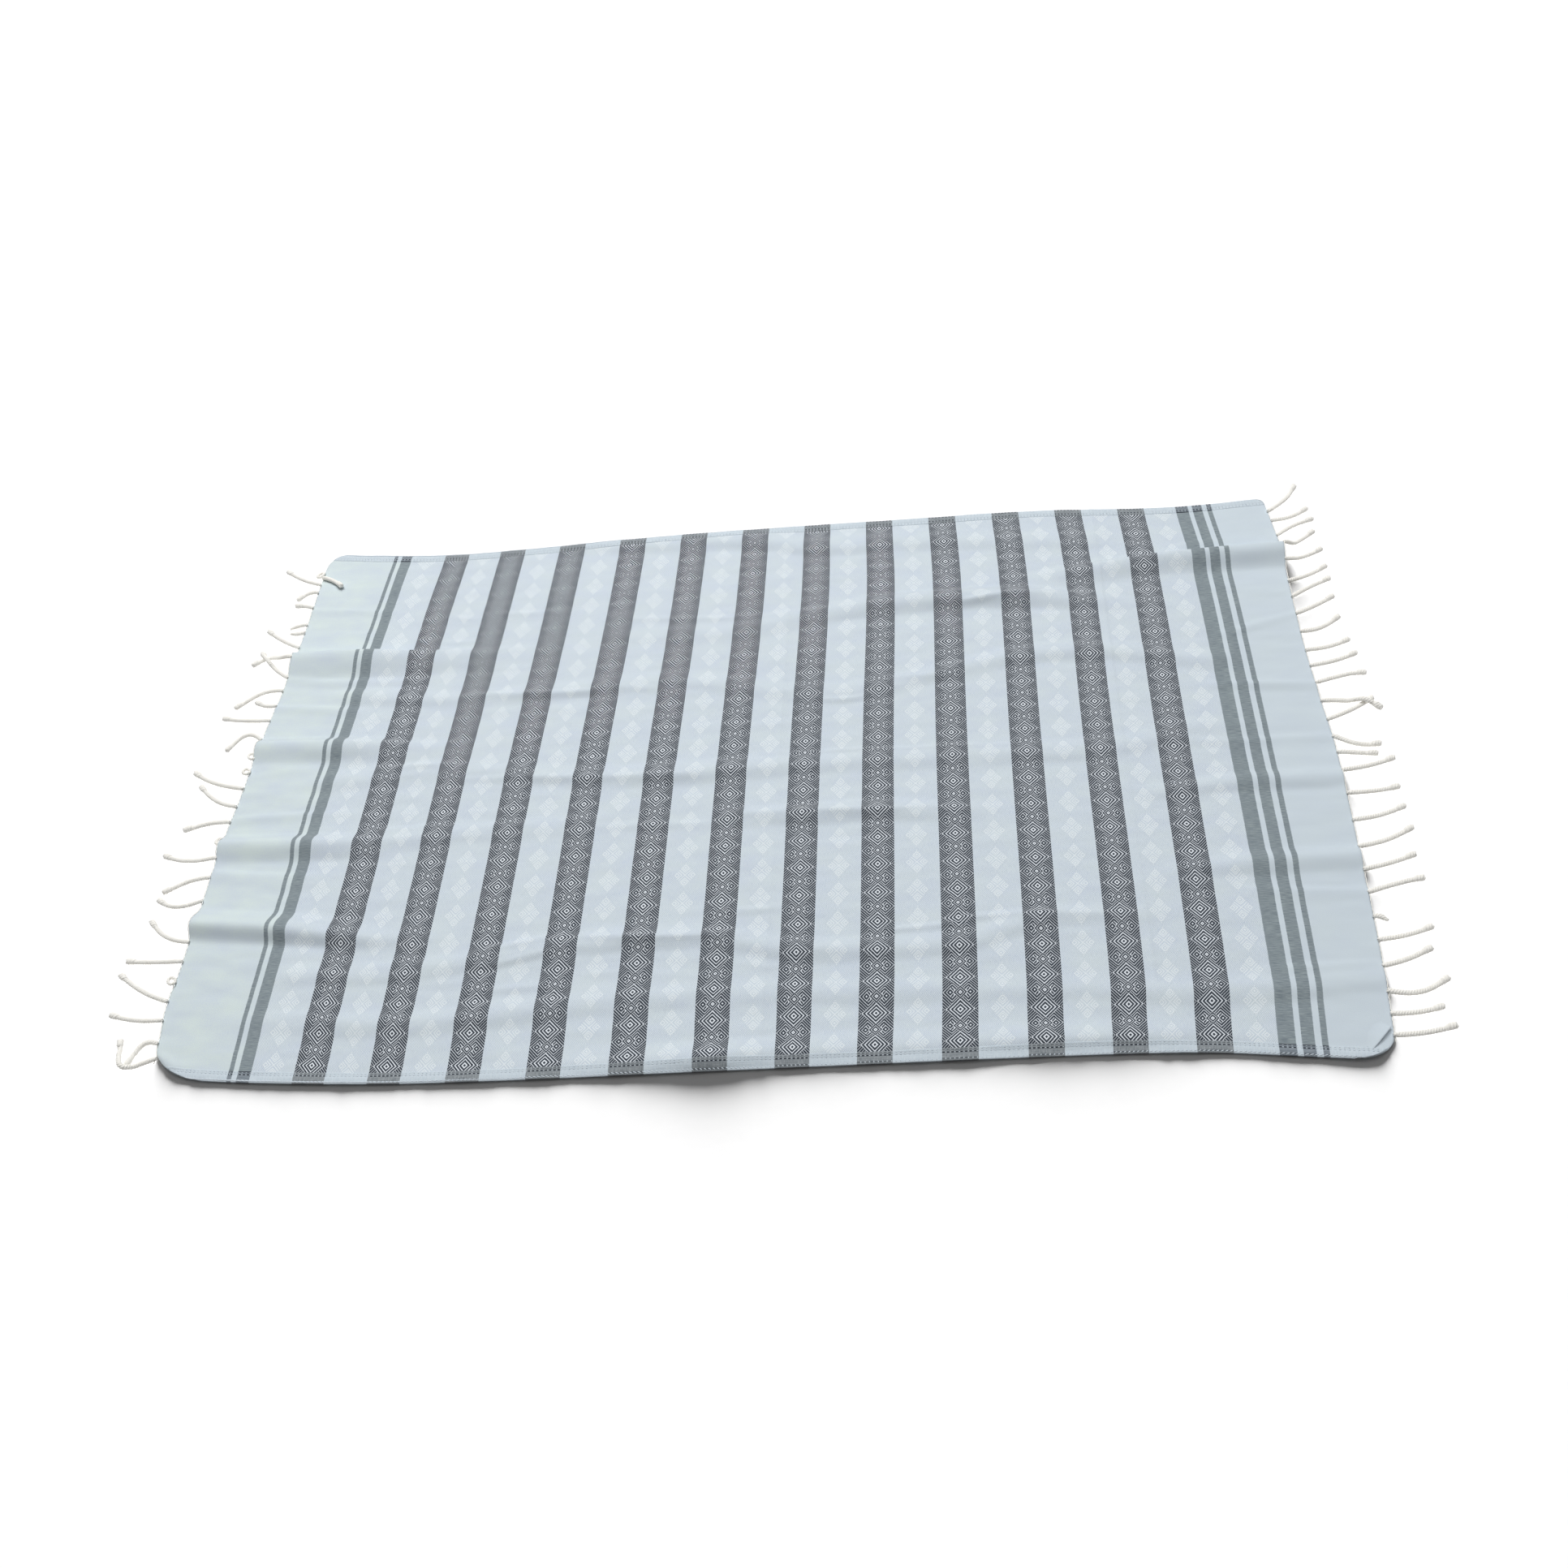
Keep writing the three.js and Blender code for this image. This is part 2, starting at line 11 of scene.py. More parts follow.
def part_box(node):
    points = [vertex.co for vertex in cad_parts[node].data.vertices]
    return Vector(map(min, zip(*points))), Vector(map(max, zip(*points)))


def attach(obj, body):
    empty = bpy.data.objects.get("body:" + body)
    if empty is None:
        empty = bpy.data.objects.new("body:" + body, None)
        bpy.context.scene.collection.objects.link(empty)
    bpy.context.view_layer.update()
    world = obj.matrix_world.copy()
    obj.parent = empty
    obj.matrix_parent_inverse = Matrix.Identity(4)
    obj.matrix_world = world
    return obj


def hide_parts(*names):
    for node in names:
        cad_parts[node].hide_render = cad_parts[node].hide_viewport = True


# A fouta towel laid out flat: a woven cloth with dark diamond bands, a stitched hem along each
# long side and a fringe of twisted cords at each short end.
# Tables and sizes are in millimetres and count from the cloth's middle: x along the length,
# y from the near hem to the far hem. Meshes are in metres, in the frame's own place.

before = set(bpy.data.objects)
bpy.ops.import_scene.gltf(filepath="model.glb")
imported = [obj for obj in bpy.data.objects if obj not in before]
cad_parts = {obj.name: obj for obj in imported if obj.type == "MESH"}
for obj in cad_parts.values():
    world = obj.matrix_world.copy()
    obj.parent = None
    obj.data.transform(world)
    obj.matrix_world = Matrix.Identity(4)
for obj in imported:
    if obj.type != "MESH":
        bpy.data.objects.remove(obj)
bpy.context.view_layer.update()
MM = 0.001

# Sizes that the solids have too
CLOTH_LOW, CLOTH_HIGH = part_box("cloth")
HALF_LENGTH = (CLOTH_HIGH.x - CLOTH_LOW.x) / MM / 2
END_PULL = 9.0
END_PULL_POWER = 3
CLOTH_THICK = 1.8
SETTLE = 0.8
FOLD_FADE = 60.0
CORD_RADIUS = 3.2
BOUND_RADIUS = 4.6
FLOOR_GAP = 0.4
BOUND_FROM = 30.0


def table(kind, *rows):
    """A table's rows, as named tuples of one kind."""
    return [kind(*row) for row in rows]


# The two long sides: y of the near and the far one, by x
Side = namedtuple("Side", "x near far")
SIDES = table(
    Side,
    (-775, -508, 486), (-690, -515, 477), (-560, -520, 470), (-420, -520.5, 477.5),
    (-220, -514, 489), (0, -504.5, 502), (200, -496.5, 508), (420, -488, 514), (560, -486.5, 508),
    (660, -492.5, 508), (775, -500, 518),
)

# The two short ends: how far each stands from the middle, by its share of the width
EndPoint = namedtuple("EndPoint", "x left right")
END_LINES = table(
    EndPoint,
    (0.00, 764, 763), (0.03, 765, 766), (0.06, 768, 768.5), (0.10, 774, 771.5), (0.17, 774, 776),
    (0.25, 777, 779), (0.37, 780, 783), (0.48, 778.5, 785), (0.56, 779, 781.5),
    (0.67, 773.5, 778), (0.80, 772.5, 779), (0.88, 774, 781), (0.96, 776, 775.5),
    (1.00, 774, 772),
)

Corner = namedtuple("Corner", "along across")
NEAR_LEFT = Corner(72, 44)
NEAR_RIGHT = Corner(46, 34)
FAR_LEFT = Corner(34, 32)
FAR_RIGHT = Corner(13, 13)

# The largest folds, as the solids have them: widths of the far and near slopes, then the crest
Fold = namedtuple("Fold", "far near crest")
Crest = namedtuple("Crest", "x y high")


def fold(far, near, *crest):
    return Fold(far, near, table(Crest, *crest))


FOLDS = [
    # far side, right end
    fold(17, 44, (370, 350, 1), (468, 368, 8), (568, 380, 14), (642, 384, 18),
         (775, 391, 20)),
    # far side, middle
    fold(30, 34, (-256, 256, 2), (-60, 262, 4.5), (54, 290, 5.5), (158, 306, 9),
         (262, 312, 12), (366, 312, 11.5), (468, 298, 6.5), (530, 290, 2)),
    # far side, left end
    fold(15, 60, (-775, 236, 15), (-637, 234, 17), (-559, 232, 12), (-460, 235, 5),
         (-370, 240, 1)),
    # left end, above the middle
    fold(24, 40, (-775, 46, 12), (-637, 44, 12), (-559, 40, 6), (-450, 30, 2)),
    # left end, below the middle
    fold(26, 36, (-775, -143, 12), (-637, -143, 12), (-559, -141, 7),
         (-460, -130, 4.5), (-250, -114, 3)),
    # left end, near side
    fold(36, 30, (-775, -280, 15), (-637, -290, 13.5), (-559, -300, 8),
         (-480, -308, 2)),
    # long crease across the near half
    fold(30, 26, (-600, -362, 4), (-460, -358, 4.5), (-256, -322, 5),
         (-153, -314, 6), (-49, -312, 5.5), (54, -334, 6), (262, -326, 4.5),
         (366, -292, 4.5), (480, -288, 3)),
    # long crease through the middle
    fold(32, 32, (-640, -25, 4), (-459, -10, 3.5), (-256, -32, 5.5), (-100, -26, 7.5),
         (54, -18, 5.5), (262, -10, 5), (468, -4, 4.5), (600, 30, 3.5)),
    # long crease across the far half
    fold(30, 30, (-640, 149, 5.5), (-460, 134, 3.5), (-256, 151, 5), (-153, 156, 5),
         (100, 122, 4), (366, 184, 6), (468, 190, 7), (640, 160, 5)),
    # short ridge right of the middle
    fold(26, 28, (-40, -110, 3), (54, -110, 7), (158, -105, 7), (280, -112, 3)),
    # shallow crease inside the near hem
    fold(30, 30, (-620, -430, 3.5), (-460, -438, 5.5), (-300, -420, 5),
         (-100, -402, 4), (366, -395, 4), (568, -403, 5.5), (775, -388, 4.5)),
    # the near hem lifts off the surface
    fold(34, 22, (-270, -497, 1.5), (-153, -494, 5), (-49, -490, 9), (60, -482, 5.5),
         (200, -474, 4.5), (366, -468, 7), (468, -465, 6.5), (580, -462, 1.5)),
    # right end, near side
    fold(26, 28, (560, -220, 3), (642, -209, 7), (775, -204, 8.5)),
    # right end, below the middle
    fold(24, 26, (550, -86, 3.5), (642, -72, 6), (775, -68, 6.5)),
    # the far hem lifts off the surface
    fold(44, 30, (-370, 478, 1.5), (-256, 473, 5), (-49, 470, 7), (54, 448, 7),
         (200, 452, 5.5), (480, 432, 4.5)),
]

# Finer creases, pressed in or pulled up over short stretches. A height below 0 is a trough.
CREASES = [
    # sharp line left by folding, right of the middle
    fold(3, 7, (0, 5, 0.8), (60, 6, 2.0), (200, 7, 2.2), (345, 8, 1.6)),
    # thin lines over the near crease
    fold(4, 12, (-245, -306, 1.5), (-150, -310, 3.2), (-62, -308, 2.6)),
    fold(4, 11, (178, -303, 2.4), (250, -297, 2.8)),
    fold(5, 12, (278, -286, 2.4), (352, -281, 2.2), (450, -284, 1.2)),
    # wedge at the left end, near side
    fold(16, 15, (-775, -284, 1.2), (-650, -297, 1.6), (-560, -306, 2),
         (-440, -309, 1)),
    # left end, between the larger folds
    fold(8, 16, (-765, 346, 1.6), (-700, 342, 2), (-640, 336, 1.2)),
    fold(9, 18, (-770, 128, 2.4), (-690, 122, 2.6), (-640, 116, 1.4)),
    fold(9, 15, (-765, -92, 2.2), (-690, -88, 2.4), (-600, -86, 1)),
    fold(10, 22, (-765, -190, 2.6), (-700, -196, 2.2), (-640, -198, 1)),
    fold(10, 16, (-765, 186, 1.4), (-700, 180, 2), (-560, 176, 1)),
    # left of the middle
    fold(6, 13, (-450, 142, 2.2), (-360, 138, 3), (-275, 140, 2.4)),
    fold(7, 12, (-560, -2, 1.8), (-515, 2, 2.6), (-475, 0, 1.4)),
    fold(7, 14, (-450, -28, 1.6), (-330, -30, 2.4), (-120, -34, 2)),
    fold(7, 12, (-560, -120, 1.6), (-510, -118, 2.4), (-455, -112, 1.4)),
    fold(7, 12, (-440, 322, 1.6), (-410, 320, 2), (-370, 322, 1)),
    fold(6, 10, (-545, 322, 1.4), (-510, 314, 2), (-478, 310, 1)),
    fold(6, 9, (-540, 262, 1.2), (-505, 258, 2), (-478, 262, 1)),
    fold(6, 10, (-350, -325, 1.6), (-310, -316, 3), (-272, -306, 1.8)),
    fold(6, 10, (-350, -352, 1.4), (-312, -342, 2.4), (-276, -330, 1.2)),
    fold(7, 12, (-345, -388, 1), (-300, -384, 1.8), (-270, -382, 1)),
    fold(6, 12, (-245, 297, 1.2), (-150, 294, 2), (-60, 290, 1.8),
         (20, 296, 1)),
    fold(8, 13, (-230, 146, 1), (-180, 140, 1.8), (-120, 128, 1)),
    fold(8, 14, (-230, -122, 1), (-150, -120, 1.8), (-80, -122, 1)),
    # right of the middle
    fold(5, 10, (72, 108, 1.4), (108, 106, 2.4), (145, 112, 1.2)),
    fold(7, 12, (-38, -106, 1.4), (60, -104, 2.4), (140, -106, 1.6),
         (240, -102, 1)),
    fold(7, 12, (178, 318, 1.4), (240, 322, 2.4), (290, 320, 1.6)),
    fold(4, 12, (286, 300, 2), (320, 306, 4), (352, 312, 2.6),
         (450, 312, 1.2)),
    fold(7, 12, (-36, -270, 1.2), (0, -268, 2), (36, -266, 1)),
    fold(8, 12, (180, 150, 1), (220, 146, 1.8), (255, 152, 1)),
    # right end
    fold(8, 18, (640, 112, 1.8), (700, 110, 3), (775, 106, 2.4)),
    fold(9, 16, (590, 410, 1.4), (650, 418, 2), (720, 424, 1)),
    fold(9, 18, (640, -252, 1.6), (710, -256, 2.2), (775, -258, 1.6)),
    fold(8, 14, (640, -372, 1.2), (690, -370, 2), (760, -366, 1.2)),
    fold(9, 15, (560, 6, 1.2), (650, 2, 2), (775, 6, 1.6)),
    fold(9, 16, (660, 210, 1.2), (720, 232, 2), (775, 250, 1.4)),
    # troughs beside the larger folds
    fold(12, 12, (-700, 300, -1), (-600, 296, -1.4), (-500, 290, -1)),
    fold(14, 12, (100, 270, -1), (260, 268, -2), (400, 262, -1)),
    fold(12, 14, (-300, -366, -1), (-150, -352, -1.6), (40, -370, -1)),
    # the near left corner, turned up a little
    fold(10, 5, (-762, -478, 1.4), (-750, -486, 2.4), (-737, -496, 1.4)),
]

# Creases across the cloth, from its days folded in a packet
PressLine = namedtuple("PressLine", "x high wide")
PRESS_LINES = table(
    PressLine,
    (-505, 0.9, 5), (15, 0.8, 5), (500, 0.9, 5), (-246, 0.4, 6), (262, 0.4, 6),
)

# The weave. Lengths along the cloth are its own flat x; rows are counted from the near hem.
BAND_PITCH = 102.97
BAND_FIRST = -563.4
BAND_COUNT = 12
BAND_HALF = 4.55  # half a dark band, in pattern lines
LINES_IN_PITCH = 21.5
ROW_PITCH = 45.97
LINES_IN_ROW = 9.0
ROW_AT_NEAR = -0.6  # the near edge, counted in rows from the first whole diamond
ROW_AT_FAR = 21.3

# How far the drape has pulled the weave off its even places, in millimetres, by x and at five
# places across the width, from the near side to the far side
Pull = namedtuple("Pull", "x edge near middle far last")
PULL_ALONG = table(
    Pull,
    (-650, 6.5, 4, 0.7, 5.2, 4.2), (-563, 7.5, 5, 1, 5, 7.6), (-460, 2.5, 0, -3.5, 0, -0.5),
    (-254, 0.2, -2.3, -4.5, 0.5, 0.5), (-48, 3.5, 0, -2.8, 1.8, 1.5), (157, 0.5, 1.5, 0, 3, 0.7),
    (363, 2.6, 4.3, 3, 5, 2.3), (466, -0.5, 3.4, 1.8, 4, 1.3), (569, -4.6, 0, -0.5, 1, -1),
    (650, -4.5, -0.3, 0.3, 0.6, -4),
)
PULL_ACROSS = table(
    Pull,
    (-563, -2, -2, -3, -2.5, -2.8), (-357, -6.3, -6.3, -5.8, -1.2, 0),
    (-254, -7.8, -7.4, -6, -2, -4), (-151, -4.3, -4.1, -2.5, -2, -1),
    (-48, -1.4, -1, -3, -2.5, -2.5), (157, -3.5, -3.4, -3.4, -2, -5),
    (260, -3, -2.6, -4.8, -3.2, -6), (363, -3.5, -3.5, -4.9, -1, -0.7),
    (466, -4.6, -4.6, -4.4, -1, 2), (569, -5, -4.6, -3, -1.5, -2.2),
)
PULL_SHARES = (0.0, 0.12, 0.5, 0.85, 1.0)
GreyStripe = namedtuple("GreyStripe", "start end")
GREY_STRIPES = table(
    GreyStripe,
    (-672, -666), (-659, -642), (643.4, 663.8), (670.6, 685.7), (693.5, 700.8),
)
FIGURE_START = GREY_STRIPES[1].end
FIGURE_END = GREY_STRIPES[2].start

# The fringe, from the far corner to the near one, on the solids' routes
Cord = namedtuple("Cord", "root reach lean bow hook lift", defaults=(0, 0))
CORDS_LEFT = table(
    Cord,
    (436, 16, -13, 2), (424, -40, -26, 4), (408, 68, 36, -4), (389, 31, -15, 6, -5),
    (352, 32, 3, 3, 2), (312, 27, -9, 2), (294, 24, -2, -2), (259, 63, 40, -3),
    (228, 68, 2, 9, -10), (192, 58, 52, -4, 4, 7), (164, 68, -37, 13), (132, 36, 8, -4),
    (101, 78, 6, -2), (61, 50, -10, 16, -13), (24, 16, 11, 5), (-4, 9, 5, 2),
    (-35, 86, 30, -5, 3), (-69, 68, 40, -9), (-98, 67, -15, 5), (-131, 8, -6, 2),
    (-163, 81, 3, -6, 2), (-197, 62, -27, 6), (-237, 66, -2, -9, 4), (-306, 66, 31, -8, 4),
    (-337, 80, 0, -1), (-371, 17, 8, 5), (-400, 81, 42, -5), (-428, 76, 8, -4),
    (-463, 33, -14, 8, -20), (-484, 58, -26, 0, 54, 8),
)
CORDS_RIGHT = table(
    Cord,
    (484, 52, 50, -3, 10), (462, 60, 24, -6), (426, 62, 34, 5), (393, 56, 38, -3),
    (366, 61, 23, -4), (321, 62, 29, -4), (286, 63, 36, 2), (249, 61, 34, -2), (211, 61, 28, -8),
    (172, 66, 18, -4), (140, 70, 22, -3), (106, 74, 21, 1, -6), (71, 80, -14, 4, -6, 8),
    (35, 70, 38, -3), (5, 62, -18, -8), (-25, 54, -6, 0), (-58, 74, 19, -3), (-98, 71, 8, -2),
    (-144, 72, 21, -4), (-188, 75, 29, -5), (-225, 70, 22, -2), (-261, 74, 22, 1, -2),
    (-298, 17, -7, 3), (-333, 70, 18, -3), (-371, 64, 25, -3), (-406, 76, 17, -11),
    (-438, 64, 9, -3), (-467, 75, 12, -3),
)


# The shape of the cloth

def read_table(rows, x, column):
    """A smooth curve through a table's rows, read at x and level past its ends."""
    xs = np.array([row.x for row in rows], float)
    ys = np.array([getattr(row, column) for row in rows], float)
    before = np.concatenate(([0], np.arange(len(xs) - 1)))
    after = np.minimum(np.arange(len(xs)) + 1, len(xs) - 1)
    slopes = (ys[after] - ys[before]) / (xs[after] - xs[before])
    x = np.clip(x, xs[0], xs[-1])
    i = np.clip(np.searchsorted(xs, x, side="right") - 1, 0, len(xs) - 2)
    span = xs[i + 1] - xs[i]
    t = (x - xs[i]) / span
    return (
        ys[i] * (2 * t**3 - 3 * t**2 + 1)
        + slopes[i] * span * (t**3 - 2 * t**2 + t)
        + ys[i + 1] * (3 * t**2 - 2 * t**3)
        + slopes[i + 1] * span * (t**3 - t**2)
    )


def smooth(t):
    c = np.clip(t, 0, 1)
    return c * c * (3 - 2 * c)


def hill(t):
    return np.where(t < 1, 0.5 + 0.5 * np.cos(np.pi * np.minimum(t, 1)), 0.0)


def fold_height(fold, x, y, fade):
    first, last = fold.crest[0], fold.crest[-1]
    past = np.maximum(np.maximum(first.x - x, x - last.x), 0)
    offset = y - read_table(fold.crest, x, "y")
    width = np.where(offset > 0, fold.far, fold.near)
    crest = read_table(fold.crest, x, "high")
    return crest * hill(np.abs(offset) / width) * (1 - smooth(past / fade))


NOISE_CELLS = 64


def value_noise(x, y, long, wide, seed):
    """Smooth noise from -1 to 1 with hills of the given size."""
    cells = np.random.default_rng(seed).uniform(-1, 1, (NOISE_CELLS, NOISE_CELLS))
    gx, gy = x / long + NOISE_CELLS / 2, y / wide + NOISE_CELLS / 2
    ix, iy = np.floor(gx).astype(int), np.floor(gy).astype(int)
    tx, ty = smooth(gx - ix), smooth(gy - iy)

    def corner(i, j):
        return cells[(ix + i) % NOISE_CELLS, (iy + j) % NOISE_CELLS]

    low = corner(0, 0) * (1 - tx) + corner(1, 0) * tx
    high = corner(0, 1) * (1 - tx) + corner(1, 1) * tx
    return low * (1 - ty) + high * ty


CREASE_FADE = 22.0
LOFT = 0.4  # how far the cloth lies off the surface between its folds
SOFTEN = 0.8  # rounds the line where a fold meets the flat cloth
PUCKER = 0.55  # height of the small puckers of the weave
FINE_SHARE = 0.6  # height of the finest ones, as a share of it
PRESS_MEAN, PRESS_SWING = 0.6, 0.4  # how strongly the pressed lines show

Hills = namedtuple("Hills", "long wide seed")
PUCKER_HILLS = Hills(52, 15, 1)
FINE_HILLS = Hills(23, 9, 2)
PRESS_HILLS = Hills(400, 70, 5)


def cloth_height(x, y):
    """Height of the cloth's underside over the surface, in millimetres."""
    raised = sum(fold_height(fold, x, y, FOLD_FADE) for fold in FOLDS) - SETTLE
    large = (raised + np.sqrt(raised**2 + SOFTEN**2)) / 2
    fine = sum(fold_height(fold, x, y, CREASE_FADE) for fold in CREASES)
    strength = PRESS_MEAN + PRESS_SWING * value_noise(x, y, *PRESS_HILLS)
    for press in PRESS_LINES:
        fine = fine + press.high * strength * hill(np.abs(x - press.x) / press.wide)
    pucker = value_noise(x, y, *PUCKER_HILLS) + FINE_SHARE * value_noise(x, y, *FINE_HILLS)
    return np.maximum(large + LOFT + fine + PUCKER * pucker, 0)


def corner_inset(corner, from_side):
    d = np.clip(1 - from_side / corner.across, 0, 1)
    return corner.along * (1 - np.sqrt(1 - d * d))


def end_pull(across):
    return END_PULL * np.abs(across) ** END_PULL_POWER


def cloth_outline(u, share):
    """The place (x, y) of a point of the cloth: u is -1 to 1 along it, share 0 to 1 across it."""
    station = u * HALF_LENGTH
    width = read_table(SIDES, station, "far") - read_table(SIDES, station, "near")
    from_near = share * width
    from_far = width - from_near
    left = read_table(END_LINES, share, "left")
    left = left - corner_inset(NEAR_LEFT, from_near) - corner_inset(FAR_LEFT, from_far)
    right = read_table(END_LINES, share, "right")
    right = right - corner_inset(NEAR_RIGHT, from_near) - corner_inset(FAR_RIGHT, from_far)
    x = np.where(u < 0, u * left, u * right)
    near = read_table(SIDES, x, "near")
    far = read_table(SIDES, x, "far")
    return x, near + share * (far - near)


def frame_shift():
    """From the cloth's own middle to the frame's origin, in millimetres."""
    stations = np.linspace(-1, 1, 401)
    nearest = cloth_outline(stations, np.zeros_like(stations))[1].min()
    middle = (CLOTH_LOW.x + CLOTH_HIGH.x) / 2
    return middle / MM, CLOTH_LOW.y / MM - nearest


SHIFT_X, SHIFT_Y = frame_shift()


def placed(points):
    """Points in the cloth's own millimetres, moved into the frame, in metres."""
    return (np.asarray(points, float) + (SHIFT_X, SHIFT_Y, 0)) * MM


# Making meshes

def new_piece(name, points, faces, material):
    """An object from points in the cloth's own millimetres and faces of any size."""
    mesh = bpy.data.meshes.new(name)
    mesh.from_pydata(placed(points).tolist(), [], faces)
    mesh.materials.append(material)
    mesh.shade_smooth()
    piece = bpy.data.objects.new(name, mesh)
    bpy.context.scene.collection.objects.link(piece)
    return piece


def set_uv(piece, name, places):
    """A UV map that holds one place, in metres, for each vertex."""
    layer = piece.data.uv_layers.new(name=name)
    corners = np.empty(len(piece.data.loops), int)
    piece.data.loops.foreach_get("vertex_index", corners)
    layer.uv.foreach_set("vector", places[corners].astype(np.float32).ravel())


def grid_faces(columns, rows, first=0, flip=False):
    """Quads over a grid of points that runs column by column."""
    faces = []
    for i in range(columns - 1):
        for j in range(rows - 1):
            a = first + i * rows + j
            quad = (a, a + rows, a + rows + 1, a + 1)
            faces.append(quad[::-1] if flip else quad)
    return faces


def rim_faces(columns, rows, half):
    """Quads that close the gap between the upper and the lower skin."""
    near = [i * rows for i in range(columns)]
    far = [i * rows + rows - 1 for i in range(columns)]
    left = list(range(rows))
    right = [(columns - 1) * rows + j for j in range(rows)]
    loop = near + right[1:] + far[::-1][1:] + left[::-1][1:]
    return [(b, a, a + half, b + half) for a, b in zip(loop, loop[1:])]


def ring_faces(stations, sides, first=0):
    """The faces of a closed tube, capped at both ends, whose points run ring by ring."""
    faces = []
    for i in range(stations - 1):
        for k in range(sides):
            a, b = first + i * sides + k, first + i * sides + (k + 1) % sides
            faces.append((a, b, b + sides, a + sides))
    end = first + (stations - 1) * sides
    faces.append(tuple(range(first, first + sides))[::-1])
    faces.append(tuple(range(end, end + sides)))
    return faces


# The cloth

EDGE_ROUND = 0.9  # how far in its edge rounds down
EDGE_TOP, EDGE_BOTTOM = 0.45, 0.2  # heights of the edge, as shares of the thickness
COLUMN_STEP = 11.0
COLUMNS_AT_END = (0, EDGE_ROUND, 3, 8)
ROW_STEP = 3.55
ROWS_AT_SIDE = (0, EDGE_ROUND, 3)
STRONG_PRESS = 0.5  # pressed lines above this height get columns of their own
COLUMNS_AT_PRESS = (-4, -2, 0, 2, 4)


def steps(length, step, near_edges):
    """Stations from 0 to length: the given ones at each end, even ones between."""
    inner = near_edges[-1]
    count = round((length - 2 * inner) / step)
    middle = np.linspace(inner, length - inner, count + 1)
    return np.concatenate((near_edges[:-1], middle, (length - np.array(near_edges[:-1]))[::-1]))


def spaced(stations, least):
    """The stations in order, without those that lie too close to the one before."""
    kept = []
    for station in np.sort(stations):
        if not kept or station - kept[-1] >= least:
            kept.append(station)
    return np.array(kept)


def cloth_columns():
    """Stations along the cloth, closer together at its ends and at the pressed lines."""
    even = steps(2 * HALF_LENGTH, COLUMN_STEP, COLUMNS_AT_END) - HALF_LENGTH
    strong = [line for line in PRESS_LINES if line.high > STRONG_PRESS]
    extra = [line.x + d for line in strong for d in COLUMNS_AT_PRESS]
    return spaced(np.concatenate((even, extra)), EDGE_ROUND) / HALF_LENGTH


def cloth_rows():
    """Shares across the cloth."""
    width = SIDES[5].far - SIDES[5].near
    return steps(width, ROW_STEP, ROWS_AT_SIDE) / width


def shell_points(x, y, top, bottom):
    return np.concatenate([np.stack((x, y, z), -1).reshape(-1, 3) for z in (top, bottom)])


def shell_faces(columns, rows, flip=False):
    """The faces of a thin closed shell: its upper skin, its lower one and the rim."""
    half = columns * rows
    faces = grid_faces(columns, rows) + grid_faces(columns, rows, half, flip=True)
    faces += rim_faces(columns, rows, half)
    return [face[::-1] for face in faces] if flip else faces


def cloth_shell(material):
    """The cloth as a thin closed shell, with its flat places as a UV map."""
    columns, rows = cloth_columns(), cloth_rows()
    u, share = np.meshgrid(columns, rows, indexing="ij")
    x, y = cloth_outline(u, share)
    low = cloth_height(x, y)
    rounded = np.ones_like(low)
    rounded[[0, -1], :] = 0
    rounded[:, [0, -1]] = 0
    top = low + CLOTH_THICK * (EDGE_TOP + (1 - EDGE_TOP) * rounded)
    bottom = low + CLOTH_THICK * EDGE_BOTTOM * (1 - rounded)
    points = shell_points(x, y, top, bottom)
    piece = new_piece("cloth_shell", points, shell_faces(*u.shape), material)
    flat = flat_map(x, y, low, share)
    set_uv(piece, "Flat", np.concatenate((flat, flat)))
    return piece


def pulled(pulls, x, share):
    """A pull table's value at x, eased across the width."""
    values = [read_table(pulls, x, column) for column in Pull._fields[1:]]
    total = values[0]
    for i in range(len(PULL_SHARES) - 1):
        start, end = PULL_SHARES[i], PULL_SHARES[i + 1]
        total = total + (values[i + 1] - values[i]) * smooth((share - start) / (end - start))
    return total


def flat_along(x, share):
    """The flat cloth's own x of a point of the draped cloth, in millimetres."""
    return x / (1 - end_pull(share * 2 - 1) / HALF_LENGTH) - pulled(PULL_ALONG, x, share)


def flat_map(x, y, z, share):
    """Places on the flat cloth, in metres. Rows across it follow the length of the draped cloth."""
    along = flat_along(x, share)
    step = np.hypot(np.diff(y, axis=1), np.diff(z, axis=1))
    run = np.concatenate((np.zeros((len(y), 1)), np.cumsum(step, axis=1)), axis=1)
    row = ROW_AT_NEAR + (ROW_AT_FAR - ROW_AT_NEAR) * run / run[:, -1:]
    row = row - pulled(PULL_ACROSS, x, share) / ROW_PITCH
    return np.stack((along, row * ROW_PITCH), -1).reshape(-1, 2) * MM


# The near right corner stands a little open: the cloth's upper layer ends in a raised lip there.
# Its rows run along the lip's line, with the width of the layer that rises to it.
LipPoint = namedtuple("LipPoint", "x y wide high")
OPEN_LIP = table(
    LipPoint,
    (737, -486, 8, 0.1), (742, -481.5, 14, 1.4), (747, -476.5, 18, 2.8), (752, -471, 20, 4),
    (756.5, -466, 20, 4.6), (760.5, -461.5, 19, 4.4), (764, -457, 17, 3.8),
)
LIP_INWARD = (-0.73, 0.68)  # from the lip's line into the cloth
LIP_THICK = 1.2
LIP_GAIN, LIP_SINK = 0.15, 0.05  # its height over the skin, as shares of LIP_THICK
LIP_TOP_CUT, LIP_BOTTOM_CUT = 0.4, 0.3  # how far its edge is rounded, as shares of it
LIP_STEPS = 60
LIP_ROWS = 12


